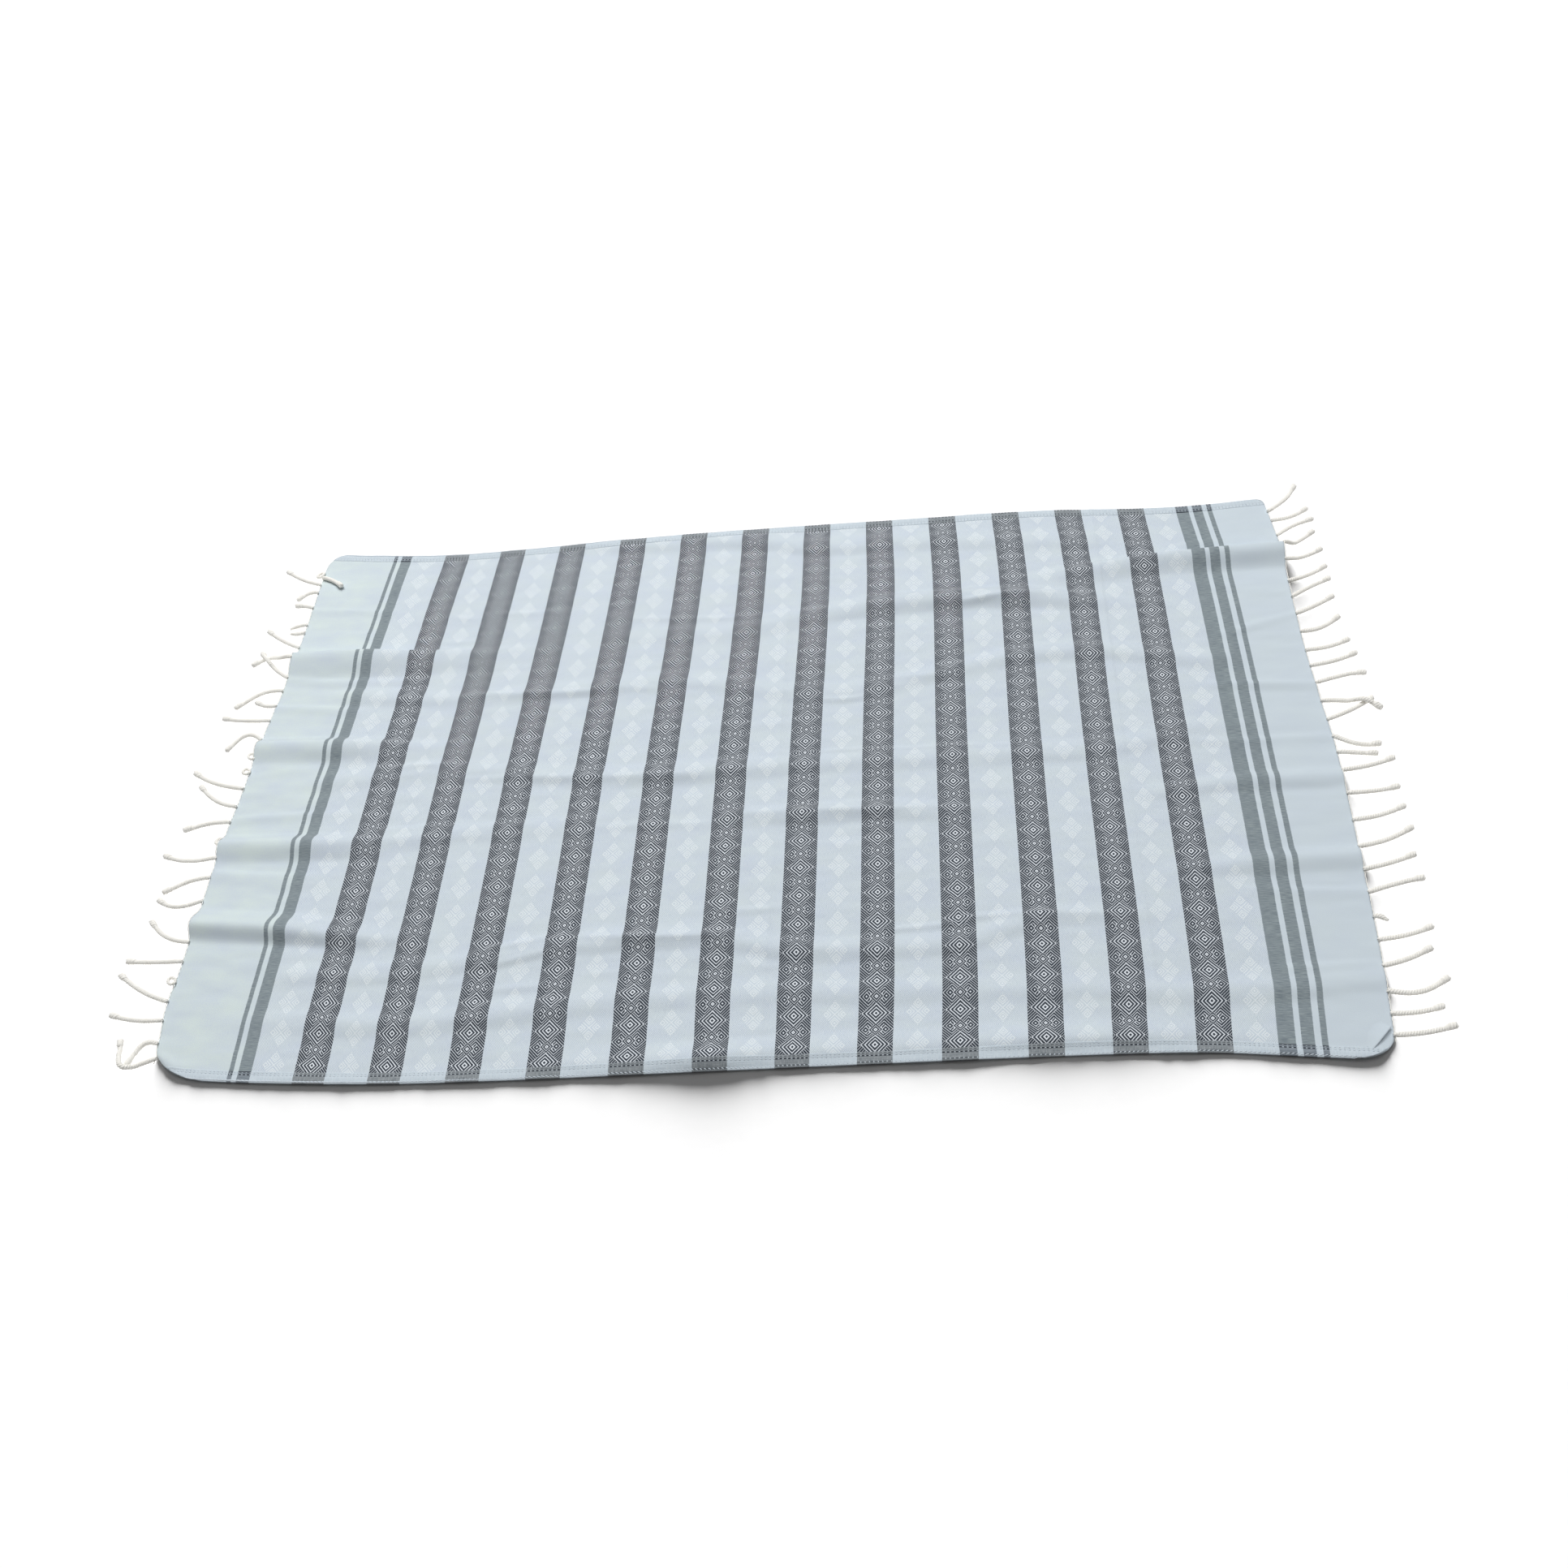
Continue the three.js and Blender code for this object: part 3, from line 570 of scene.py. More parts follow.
def open_lip(material):
    """The raised layer at the open corner, as a thin closed shell."""
    rows = np.arange(len(OPEN_LIP))
    s = np.linspace(0, rows[-1], LIP_STEPS)[:, None]
    t = np.linspace(0, 1, LIP_ROWS)[None, :]
    x, y, wide, high = (
        np.interp(s, rows, [getattr(p, key) for p in OPEN_LIP]) for key in LipPoint._fields
    )
    x = x + LIP_INWARD[0] * wide * (1 - t)
    y = y + LIP_INWARD[1] * wide * (1 - t)
    skin = cloth_height(x, y) + CLOTH_THICK
    top = skin + high * t**2 + LIP_THICK * (LIP_GAIN * t - LIP_SINK)
    top[:, -1] -= LIP_THICK * LIP_TOP_CUT
    bottom = top - LIP_THICK
    bottom[:, -1] += LIP_THICK * LIP_BOTTOM_CUT
    points = shell_points(x, y, top, bottom)
    piece = new_piece("open_corner_lip", points, shell_faces(LIP_STEPS, LIP_ROWS, True), material)
    near = read_table(SIDES, x, "near")
    share = (y - near) / (read_table(SIDES, x, "far") - near)
    across = ROW_AT_NEAR * ROW_PITCH + y - near
    flat = np.stack((flat_along(x, share), across), -1).reshape(-1, 2) * MM
    set_uv(piece, "Flat", np.concatenate((flat, flat)))
    return piece


# The hems. Each is the cloth turned over its edge and sewn down, drawn as a band with this
# section: the distance in from the side, and the height over the cloth's upper skin.
HemPoint = namedtuple("HemPoint", "inward over")
HEM_SECTION = table(
    HemPoint,
    (14.8, -0.1), (14.6, 0.3), (14.0, 0.5), (13.3, 0.55), (12.6, 0.4), (11.7, 0.6), (10.6, 0.65),
    (9.8, 0.45), (8.9, 0.7), (6.2, 0.9), (4.0, 0.95), (2.4, 0.8), (1.6, 0.55), (0.7, 0.6),
    (-0.3, 0.35), (-0.9, -0.3), (-1.0, -0.9), (-0.7, -1.5), (-0.1, -1.75), (0.4, -1.2),
    (0.6, -0.6), (1.2, -0.1), (8.0, -0.05),
)
HEM_STEP = 4.0
HEM_RIPPLE = 0.15
HEM_RIPPLES = {False: Hills(9, 40, 8), True: Hills(9, 40, 7)}  # for the near and the far hem
FLOOR_CLEAR = 0.05
HEM_END = 0.9985  # how far along the hem runs, as a share of the half length


def hem_places(from_far, u, inward):
    """Points on the cloth beside one side: x, y, the upper skin's height and the flat x."""
    station = u * HALF_LENGTH
    width = read_table(SIDES, station, "far") - read_table(SIDES, station, "near")
    share = np.maximum(inward, 0) / width
    share = 1 - share if from_far else share
    x, y = cloth_outline(u + 0 * share, share)
    outward = np.minimum(inward, 0) * (-1 if from_far else 1)
    z = cloth_height(x, y) + CLOTH_THICK
    return x, y + outward, z, flat_along(x, share)


def hem_band(name, from_far, material):
    inward = np.array([p.inward for p in HEM_SECTION])[None, :]
    over = np.array([p.over for p in HEM_SECTION])[None, :]
    count = round(2 * HALF_LENGTH * HEM_END / HEM_STEP)
    u = np.linspace(-HEM_END, HEM_END, count)[:, None]
    x, y, z, along = hem_places(from_far, u, inward)
    ripple = HEM_RIPPLE * value_noise(x, y, *HEM_RIPPLES[from_far])
    z = np.maximum(z + over + ripple * (over > HEM_RIPPLE), FLOOR_CLEAR)
    points = np.stack((x, y, z), -1).reshape(-1, 3)
    faces = ring_faces(*x.shape)
    if not from_far:
        faces = [face[::-1] for face in faces]
    piece = new_piece(name, points, faces, material)
    from_edge = inward + 0 * x
    set_uv(piece, "Flat", np.stack((along, from_edge), -1).reshape(-1, 2) * MM)
    return piece


# Tubes, for stitches and cords

UP = (0, 0, 1.0)
TINY = 1e-6  # keeps a path that points straight up from dividing by zero


def frames_along(path):
    """The directions across a path, level and upwards, at each of its points."""
    along = np.gradient(path, axis=0)
    along /= np.linalg.norm(along, axis=1, keepdims=True)
    across = np.cross(along, UP)
    across /= np.maximum(np.linalg.norm(across, axis=1, keepdims=True), TINY)
    return across, np.cross(across, along)


def run_along(path):
    """The length of a path up to each of its points."""
    step = np.linalg.norm(np.diff(path, axis=0), axis=1)
    return np.concatenate(([0], np.cumsum(step)))


def tube(path, radii, sides, first):
    """Points and faces of a closed tube along a path."""
    across, rise = frames_along(path)
    turn = np.arange(sides) * 2 * np.pi / sides
    ring = (
        np.cos(turn)[None, :, None] * across[:, None, :]
        + np.sin(turn)[None, :, None] * rise[:, None, :]
    )
    points = path[:, None, :] + radii[:, None, None] * ring
    return points.reshape(-1, 3), ring_faces(len(path), sides, first)


class Bundle:
    """Tubes gathered into one mesh."""

    def __init__(self):
        self.points = []
        self.faces = []
        self.count = 0

    def add(self, path, radii, sides):
        points, faces = tube(path, radii, sides, self.count)
        self.points.append(points)
        self.faces += faces
        self.count += len(points)

    def piece(self, name, material):
        return new_piece(name, np.concatenate(self.points), self.faces, material)


# Stitches on the hems. Each row has a place in from the edge, and a length and slant.
StitchRow = namedtuple("StitchRow", "inward long slant radius")
STITCH_ROWS = table(
    StitchRow,
    (12.6, 1.9, 0.0, 0.34), (9.8, 2.3, 0.0, 0.44), (1.6, 2.7, 1.9, 0.58),
)
STITCH_PITCH = 5.4
STITCH_SHARES = np.array([-0.5, -0.25, 0.25, 0.5])
STITCH_TAPER = np.array([0.45, 1.0, 1.0, 0.45])
STITCH_LIFT = np.array([0.4, 0.7, 0.7, 0.4])
STITCH_SIDES = 5
HEM_SAMPLES = 900  # places along a hem between which its flat x is read


def hem_stitches(name, from_far, material):
    """Sewing thread at even steps of the flat cloth, where the hem's material is light."""
    bundle = Bundle()
    u = np.linspace(-HEM_END, HEM_END, HEM_SAMPLES)
    for row in STITCH_ROWS:
        along = hem_places(from_far, u, np.full_like(u, row.inward))[3]
        first, last = math.ceil(along[0] / STITCH_PITCH), math.floor(along[-1] / STITCH_PITCH)
        middle = np.arange(first, last) * STITCH_PITCH
        at = np.interp(middle[:, None] + row.long * STITCH_SHARES, along, u)
        inward = row.inward - row.slant * STITCH_SHARES + 0 * at
        x, y, z, _ = hem_places(from_far, at, inward)
        for i in range(len(middle)):
            path = np.stack((x[i], y[i], z[i] + STITCH_LIFT), -1)
            bundle.add(path, STITCH_TAPER * row.radius, STITCH_SIDES)
    return bundle.piece(name, material)


# The fringe

PLY_COUNT = 3
PLY_TURN = 10.0  # length in which the plies of a cord turn once
PLY_RADIUS = 1.85
PLY_OFFSET = 2.05
YARN_RADIUS = PLY_RADIUS + PLY_OFFSET
PLY_SIDES = 6
STATION_STEP = 1.3
ROUGH_STATIONS, LEAST_STATIONS = 60, 12
CORD_SIZES = (0.92, 1.0)  # the least and the largest size of a cord's yarn
ROOT_SIZE, ROOT_LONG = 0.7, 6.0  # a cord starts thinner, over this length
THIN_BY, THIN_FROM = 0.4, 0.6  # a loose cord thins out, from this share of it
ROOT_FALL = 0.45  # shares of a cord: it has come down to the surface here,
CLIMB = 0.08  # or up onto the cloth here,
HOOK_FROM = 0.6  # turns aside from here on
LIFT_AT, LIFT_SPREAD = 0.72, 0.3  # and crosses another cord here
END_LONG = 15.0  # length of the bound end of a cord
END_RISE = 6.0  # length in which the cord swells into it
END_SWELL = 0.3
TIP_ROUND, TIP_CUT = 3.0, 0.985  # length of the rounded tip, and the share kept of it
CORE = 0.82  # the end's core, as a share of the radius over its plies
CORE_SIDES = 12
ROOT_TUCK = 1.0  # how far under the cloth's edge a cord starts
KNOT_AT = 3.5  # how far along a cord its root knot sits
KNOT_SIZE = 0.95
KNOT_TURNS = 1.7
KNOT_STATIONS = 22
KNOT_HALF = 1.5  # half its length along the cord
KNOT_WIND = 2.3  # how far its strand runs from the cord's middle
KNOT_RADIUS = 1.35  # the strand's own radius
KNOT_TAPER = 0.5
KNOTS_LEFT, KNOTS_RIGHT = 0.85, 0.55  # shares of the cords that have one
LOOP_BELOW = 20.0  # shorter cords at the left end are small closed loops
LOOP_RADIUS = 5.2
LOOP_SIZE = 0.62
LOOP_RISE = 1.5
LOOP_STATIONS = 30
END_FROM, END_TO = 0.03, 0.97  # shares of the width between which an end is read
END_SAMPLES = 300
BINDING_STEP = 2.5  # the thread that binds the cloth's ends
BINDING_WAVE, BINDING_PERIOD = 0.5, 7.5
BINDING_OUT, BINDING_RISE = 0.7, 0.4
BINDING_RADIUS = 0.6
BINDING_SIDES = 6
BINDING_PAST = 8  # how far it runs past the last cords


def end_line(side):
    """One short end of the cloth: its x and the height of its upper skin, as a function of y."""
    share = np.linspace(END_FROM, END_TO, END_SAMPLES)
    x, y = cloth_outline(np.full_like(share, float(side)), share)
    z = cloth_height(x, y) + CLOTH_THICK
    return lambda at: (np.interp(at, y, x), np.interp(at, y, z))


def cord_path(cord, side, edge, t, radius):
    """The middle line of a cord at shares t of its length."""
    root_x, root_z = edge(cord.root)
    x = root_x + side * ((cord.reach - ROOT_TUCK) * t - ROOT_TUCK)
    hook = cord.hook * np.maximum(0, (t - HOOK_FROM) / (1 - HOOK_FROM)) ** 2
    y = cord.root + cord.lean * t + cord.bow * np.sin(np.pi * t) + hook
    if cord.reach < 0:
        seat = cloth_height(x, y) + CLOTH_THICK + radius
        z = root_z + (seat - root_z) * smooth(t / CLIMB)
        return np.stack((x, y, z), -1)
    seat = radius + FLOOR_GAP
    start = root_z - CLOTH_THICK / 2
    z = np.maximum(seat, start + (seat - start) * smooth(t / ROOT_FALL))
    z = z + cord.lift * hill(np.abs(t - LIFT_AT) / LIFT_SPREAD)
    return np.stack((x, y, z), -1)


def add_plies(bundle, path, run, swell, phase):
    """Plies wound round a path. swell is their size at each station, 1 at full size."""
    across, rise = frames_along(path)
    offset = (PLY_OFFSET * swell)[:, None]
    for k in range(PLY_COUNT):
        turn = (2 * np.pi * (run / PLY_TURN + k / PLY_COUNT) + phase)[:, None]
        ply = path + offset * (np.cos(turn) * across + np.sin(turn) * rise)
        bundle.add(ply, PLY_RADIUS * swell, PLY_SIDES)


def add_root_knot(bundle, path, run, phase, size):
    """A small knot beside the cloth: a strand wound closely round the cord's first millimetres."""
    centre = np.array([np.interp(KNOT_AT, run, path[:, k]) for k in range(3)])
    across, rise = frames_along(path)
    i = int(np.clip(np.searchsorted(run, KNOT_AT), 1, len(run) - 2))
    along = np.cross(rise[i], across[i])
    turn = np.linspace(0, 2 * np.pi * KNOT_TURNS, KNOT_STATIONS)[:, None]
    wind = np.cos(turn + phase) * across[i] + np.sin(turn + phase) * rise[i]
    push = np.linspace(-KNOT_HALF, KNOT_HALF, len(turn))[:, None] * along
    radius = np.full(len(turn), KNOT_RADIUS) * size
    radius[[0, -1]] *= KNOT_TAPER
    strand = centre + (KNOT_WIND * wind + push) * size
    strand[:, 2] = np.maximum(strand[:, 2], radius[1])
    bundle.add(strand, radius, PLY_SIDES)


def end_swell(run, length):
    """Size of a cord along it, with its bound end thicker and its tip rounded off."""
    grow = 1 + END_SWELL * smooth((run - (length - END_LONG)) / END_RISE)
    past = np.clip((run - (length - TIP_ROUND)) / TIP_ROUND, 0, TIP_CUT)
    return grow * np.sqrt(1 - past**2)


def add_loop(bundle, cord, side, edge):
    """A short cord that turns back to its own root."""
    root_x = edge(cord.root)[0]
    t = np.linspace(0, 1, LOOP_STATIONS)
    turn = 2 * np.pi * t - np.pi
    x = root_x + side * (LOOP_RADIUS * (1 + np.cos(turn)) - ROOT_TUCK)
    y = cord.root + cord.lean / 2 * np.sin(np.pi * t) + LOOP_RADIUS * np.sin(turn)
    z = CORD_RADIUS + FLOOR_GAP + LOOP_RISE * (1 - t)
    path = np.stack((x, y, z), -1)
    add_plies(bundle, path, run_along(path), np.full(len(t), LOOP_SIZE), 0.0)


def add_cord(bundle, cord, side, edge, random):
    if side < 0 and 0 < cord.reach < LOOP_BELOW:
        add_loop(bundle, cord, side, edge)
        return
    rough = cord_path(cord, side, edge, np.linspace(0, 1, ROUGH_STATIONS), YARN_RADIUS)
    length = run_along(rough)[-1]
    t = np.linspace(0, 1, max(LEAST_STATIONS, round(length / STATION_STEP)))
    path = cord_path(cord, side, edge, t, YARN_RADIUS)
    run = run_along(path)
    phase = random.uniform(0, 2 * np.pi)
    size = random.uniform(*CORD_SIZES)
    start = (ROOT_SIZE + (1 - ROOT_SIZE) * smooth(run / ROOT_LONG)) * size
    if abs(cord.reach) < BOUND_FROM:
        thinner = 1 - THIN_BY * smooth((t - THIN_FROM) / (1 - THIN_FROM))
        add_plies(bundle, path, run, start * thinner, phase)
        return
    path[:, 2] += (BOUND_RADIUS - CORD_RADIUS) * smooth((run - (length - END_LONG)) / END_RISE)
    swell = start * end_swell(run, length)
    add_plies(bundle, path, run, swell, phase)
    core = run > length - END_LONG
    bundle.add(path[core], CORE * YARN_RADIUS * swell[core], CORE_SIDES)
    if random.uniform(0, 1) < (KNOTS_LEFT if side < 0 else KNOTS_RIGHT):
        add_root_knot(bundle, path, run, phase, size * KNOT_SIZE)


def add_binding(bundle, side, edge, low, high):
    """A thin cream thread that binds the cloth's end between the cords."""
    y = np.arange(low, high, BINDING_STEP)
    x, z = edge(y)
    wave = BINDING_WAVE * np.sin(y * 2 * np.pi / BINDING_PERIOD)
    x = x + side * (BINDING_OUT + wave)
    path = np.stack((x, y, z - CLOTH_THICK / 2 + BINDING_RISE), -1)
    bundle.add(path, np.full(len(y), BINDING_RADIUS), BINDING_SIDES)


def fringe(name, side, cords, material, seed):
    random = np.random.default_rng(seed)
    edge = end_line(side)
    bundle = Bundle()
    for cord in cords:
        add_cord(bundle, cord, side, edge, random)
    low, high = cords[-1].root - BINDING_PAST, cords[0].root + BINDING_PAST
    add_binding(bundle, side, edge, low, high)
    return bundle.piece(name, material)


# Materials. A Field is a number that shader nodes work out at each point of a surface, so that
# a pattern can be written as a sum.

def linear(red, green, blue):
    """A colour from its usual 0 to 255 values."""
    def one(v):
        v = v / 255
        return v / 12.92 if v <= 0.04045 else ((v + 0.055) / 1.055) ** 2.4
    return one(red), one(green), one(blue), 1.0


class Field:
    def __init__(self, tree, output):
        self.tree = tree
        self.output = output

    def math(self, operation, *others, clamp=False):
        node = self.tree.nodes.new("ShaderNodeMath")
        node.operation = operation
        node.use_clamp = clamp
        for socket, value in zip(node.inputs, (self, *others)):
            if isinstance(value, Field):
                self.tree.links.new(value.output, socket)
            else:
                socket.default_value = value
        return Field(self.tree, node.outputs[0])

    def __add__(self, other):
        return self.math("ADD", other)

    def __sub__(self, other):
        return self.math("SUBTRACT", other)

    def __mul__(self, other):
        return self.math("MULTIPLY", other)

    def __truediv__(self, other):
        return self.math("DIVIDE", other)

    def __or__(self, other):
        return self.math("MAXIMUM", other)

    def size(self):
        return self.math("ABSOLUTE")

    def off(self, other):
        """How far this is from a value, either way."""
        return (self - other).size()

    def below(self, limit, soft):
        """1 where this is below the limit and 0 above it, with a soft step between."""
        return (self * (-1 / soft)).math("ADD", limit / soft + 0.5, clamp=True)

    def above(self, limit, soft):
        return (self * (1 / soft)).math("ADD", 0.5 - limit / soft, clamp=True)

    def sharper(self, soft):
        """Noise with more contrast: from 0 to 1 within a step of that width."""
        return self.above(0.5, soft)

    def spread(self, reach):
        """Noise as a shift to either side, over that reach in all."""
        return (self - 0.5) * reach

    def without(self, other):
        return self * (other * -1 + 1)

    def wrapped(self, period):
        """The distance from the nearest whole number of periods, with its sign."""
        return self.math("WRAP", period / 2, -period / 2)


class Surface:
    """One material and the fields that its nodes read."""

    def __init__(self, name):
        self.material = bpy.data.materials.new(name)
        self.material.use_nodes = True
        self.tree = self.material.node_tree
        self.shader = self.tree.nodes["Principled BSDF"]

    def flat(self):
        """The flat cloth's own coordinates, in millimetres."""
        uv = self.tree.nodes.new("ShaderNodeUVMap")
        uv.uv_map = "Flat"
        parts = self.tree.nodes.new("ShaderNodeSeparateXYZ")
        self.tree.links.new(uv.outputs["UV"], parts.inputs[0])
        return [Field(self.tree, output) * (1 / MM) for output in parts.outputs[:2]]

    def place(self):
        """The point itself, in the piece's own metres."""
        node = self.tree.nodes.new("ShaderNodeTexCoord")
        return node.outputs["Object"]

    def noise(self, x, y, grain):
        """Noise from 0 to 1, with a grain's number of hills in each millimetre of x and y."""
        joined = self.tree.nodes.new("ShaderNodeCombineXYZ")
        self.tree.links.new((x * grain.along).output, joined.inputs[0])
        self.tree.links.new((y * grain.across).output, joined.inputs[1])
        return self.noise_at(joined.outputs[0], 1.0, grain.detail)

    def noise_at(self, vector, scale, detail):
        node = self.tree.nodes.new("ShaderNodeTexNoise")
        node.inputs["Scale"].default_value = scale
        node.inputs["Detail"].default_value = detail
        self.tree.links.new(vector, node.inputs["Vector"])
        return Field(self.tree, node.outputs["Fac"])

    def mix(self, factor, below, above):
        """below where factor is 0 and above where it is 1; each is a colour or an output."""
        node = self.tree.nodes.new("ShaderNodeMix")
        node.data_type = "RGBA"
        self.tree.links.new(factor.output, node.inputs["Factor"])
        for socket, value in ((node.inputs["A"], below), (node.inputs["B"], above)):
            if isinstance(value, tuple):
                socket.default_value = value
            else:
                self.tree.links.new(value, socket)
        return node.outputs["Result"]

    def finish(self, colour, height, depth, roughness, sheen):
        """Colour and relief from nodes; the rest is the same all over."""
        self.tree.links.new(colour, self.shader.inputs["Base Color"])
        bump = self.tree.nodes.new("ShaderNodeBump")
        bump.inputs["Distance"].default_value = depth * MM
        bump.inputs["Strength"].default_value = 1.0
        self.tree.links.new(height.output, bump.inputs["Height"])
        self.tree.links.new(bump.outputs["Normal"], self.shader.inputs["Normal"])
        self.shader.inputs["Roughness"].default_value = roughness
        self.shader.inputs["Sheen Weight"].default_value = sheen
        self.shader.inputs["Sheen Roughness"].default_value = SHEEN_ROUGHNESS
        self.shader.inputs["Specular IOR Level"].default_value = SPECULAR
        return self.material


ROUGHNESS, SHEEN = 0.88, 0.25  # of the cloth and the hems
YARN_ROUGHNESS, YARN_SHEEN = 0.85, 0.3
SHEEN_ROUGHNESS = 0.5
SPECULAR = 0.25

LINE = 0.31  # half the width of a dark line, in pattern lines
NARROW = 0.25  # half the width of a narrower dark line
FINE_LINE = 0.2  # half the width of a pale line
HATCH_LINE = 0.325  # half the width of a dark line of the hatching
HATCH_PITCH = 0.8
TWILL_LINE = 0.14  # half the width of a line of the plain twill
TWILL_PITCH = 0.62
FIGURE_GROUND = 0.27  # how white a pale diamond is between its lines
CROSS_PITCH = 0.92  # from line to line round a pale diamond's cross
SOFT = 0.1  # width of the soft step at the edge of a line

# The figures' lines, by their distance from the figure's middle, in pattern lines
BIG_EYE, BIG_RINGS, BIG_REACH = 0.42, (1.2, 2.15, 3.15), 3.68
SMALL_EYE, SMALL_RINGS, SMALL_REACH = 0.16, (0.8, 1.5), 1.86
SIDE_AT, SIDE_RING = 2.1, 1.9  # the side diamonds, and their small middles
EYE_AT, EYE_RING = 2.58, 0.6
DASH_RING, DASH_FROM, DASH_TO = 1.48, 1.6, 2.35
HATCH_AT, HATCH_FROM = 2.75, 2.4
CROSSING_AT, CROSSING_SIZE = 3.6, 0.22  # pale crossings at the band's edge
PALE_STRETCH, PALE_REACH = 1.3, 4.0  # a pale diamond is longer than wide
END_AT, END_RING, END_EYE, END_REACH = 2.4, 0.9, 0.4, 1.1
BESIDE_AT, BESIDE_RING, BESIDE_REACH = 2.25, 0.6, 0.8
TWILL_AT, TWILL_FROM, TWILL_WHITE = 4.3, 4.2, 0.75


def on_line(distance, at, half=LINE):
    """1 on a line drawn round a figure at that distance from its middle."""
    return distance.off(at).below(half, SOFT)


def rings(distance, eye, places, half=LINE):
    """A figure's filled middle and the lines round it."""
    ink = distance.below(eye, SOFT)
    for at in places:
        ink = ink | on_line(distance, at, half)
    return ink


def dark_figure(across, along):
    """Ink of the dark bands: big diamonds, with a small one and two side ones between them.
    across is the distance from the band's middle, along that from the next row of small ones."""
    big = across + along * -1 + LINES_IN_ROW / 2
    small = across + along
    side = across.off(SIDE_AT) + along
    eye = across.off(EYE_AT) + along
    to_row = along * -1 + LINES_IN_ROW / 2
    small_ink = rings(small, SMALL_EYE, SMALL_RINGS, NARROW)
    big_ink = rings(big, BIG_EYE, BIG_RINGS)
    dash = on_line(eye, DASH_RING) * across.below(DASH_TO, SOFT) * across.above(DASH_FROM, SOFT)
    past_crossing = (across.off(CROSSING_AT) + to_row).above(CROSSING_SIZE, SOFT)
    hatching = on_line((side - HATCH_AT).wrapped(HATCH_PITCH), 0.0, HATCH_LINE)
    hatching = hatching * side.above(HATCH_FROM, SOFT) * past_crossing
    side_ink = on_line(side, SIDE_RING) | on_line(eye, EYE_RING) | dash | hatching
    in_small = small.below(SMALL_REACH, SOFT)
    in_big = big.below(BIG_REACH, SOFT)
    rest = (big_ink * in_big) | side_ink.without(in_big)
    return (small_ink * in_small) | rest.without(in_small)


def pale_figure(across, along):
    """White threads of the pale columns: a diamond with four small ones round a cross."""
    ring = across * PALE_STRETCH + along
    inside = ring.below(PALE_REACH, SOFT)
    ends = across + along.off(END_AT)
    sides = across.off(BESIDE_AT) + along
    small = rings(ends, END_EYE, (END_RING,), FINE_LINE)
    beside = on_line(sides, BESIDE_RING, FINE_LINE)
    in_small = ends.below(END_REACH, SOFT) | sides.below(BESIDE_REACH, SOFT)
    cross = on_line((across - along).wrapped(CROSS_PITCH), 0.0, FINE_LINE).without(in_small)
    figure = cross | small | beside | FIGURE_GROUND
    twill = on_line((ring - TWILL_AT).wrapped(TWILL_PITCH), 0.0, TWILL_LINE)
    twill = twill * ring.above(TWILL_FROM, SOFT) * TWILL_WHITE
    return (figure * inside) | twill.without(inside)


STRIPE_SOFT = 0.8


def stripe(along, start, end):
    return along.above(start, STRIPE_SOFT) * along.below(end, STRIPE_SOFT)


def grey_stripes(along):
    return reduce(operator.or_, [stripe(along, row.start, row.end) for row in GREY_STRIPES])


def band_offset(along):
    """Distance from the middle of the nearest dark band, in pattern lines."""
    index = ((along - BAND_FIRST) / BAND_PITCH).math("ROUND")
    index = index.math("MAXIMUM", 0.0).math("MINIMUM", BAND_COUNT - 1.0)
    return ((along - BAND_FIRST) - index * BAND_PITCH).size() * (LINES_IN_PITCH / BAND_PITCH)


PALE = linear(181, 194, 212)
PALE_CLOUD = linear(191, 204, 211)
PALE_THREAD = linear(222, 230, 234)
HEM_PALE = linear(194, 206, 215)
PLAIN = linear(199, 210, 219)
PLAIN_CLOUD = linear(210, 222, 219)
TONE_DRIFT = 2400.0  # length over which the plain ends turn from greenish to bluish
INK = linear(39, 46, 56)
INK_WORN = linear(76, 85, 95)
BAND_THREAD = linear(225, 231, 237)
HEM_BAND = linear(112, 119, 124)
HEM_BAND_LIGHT = linear(156, 162, 166)
HEM_GREY = linear(108, 117, 126)
HEM_GREY_LIGHT = linear(142, 151, 159)
GREY = linear(140, 150, 155)
GREY_SLUB = linear(116, 127, 134)
GREY_CLOUD = linear(156, 168, 169)
CREAM = linear(252, 251, 247)
CREAM_DEEP = linear(240, 237, 229)
SEWING = linear(217, 225, 231)
SEWING_DEEP = linear(196, 207, 217)
PAPER = linear(255, 255, 255)
PAPER_DEEP = linear(253, 253, 253)

# Noise in the flat cloth: hills in a millimetre along and across it, and detail
Grain = namedtuple("Grain", "along across detail")
WANDER_ALONG = Grain(0.2, 0.4, 2.0)  # how the figures stray from their even places
WANDER_ACROSS = Grain(0.25, 0.25, 2.0)
CLOUDS = Grain(0.02, 0.03, 4.0)  # large and small patches of another tone
SPECKS = Grain(0.5, 0.5, 3.0)
SLUBS = Grain(0.09, 1.3, 3.0)  # thick places of the dark threads
WEFT = Grain(1.6, 0.12, 3.0)
THREADS = Grain(1.1, 1.1, 2.0)
RIBS = Grain(0.9, 0.12, 2.0)  # of the hems
HEM_LINES = Grain(0.06, 1.1, 2.0)


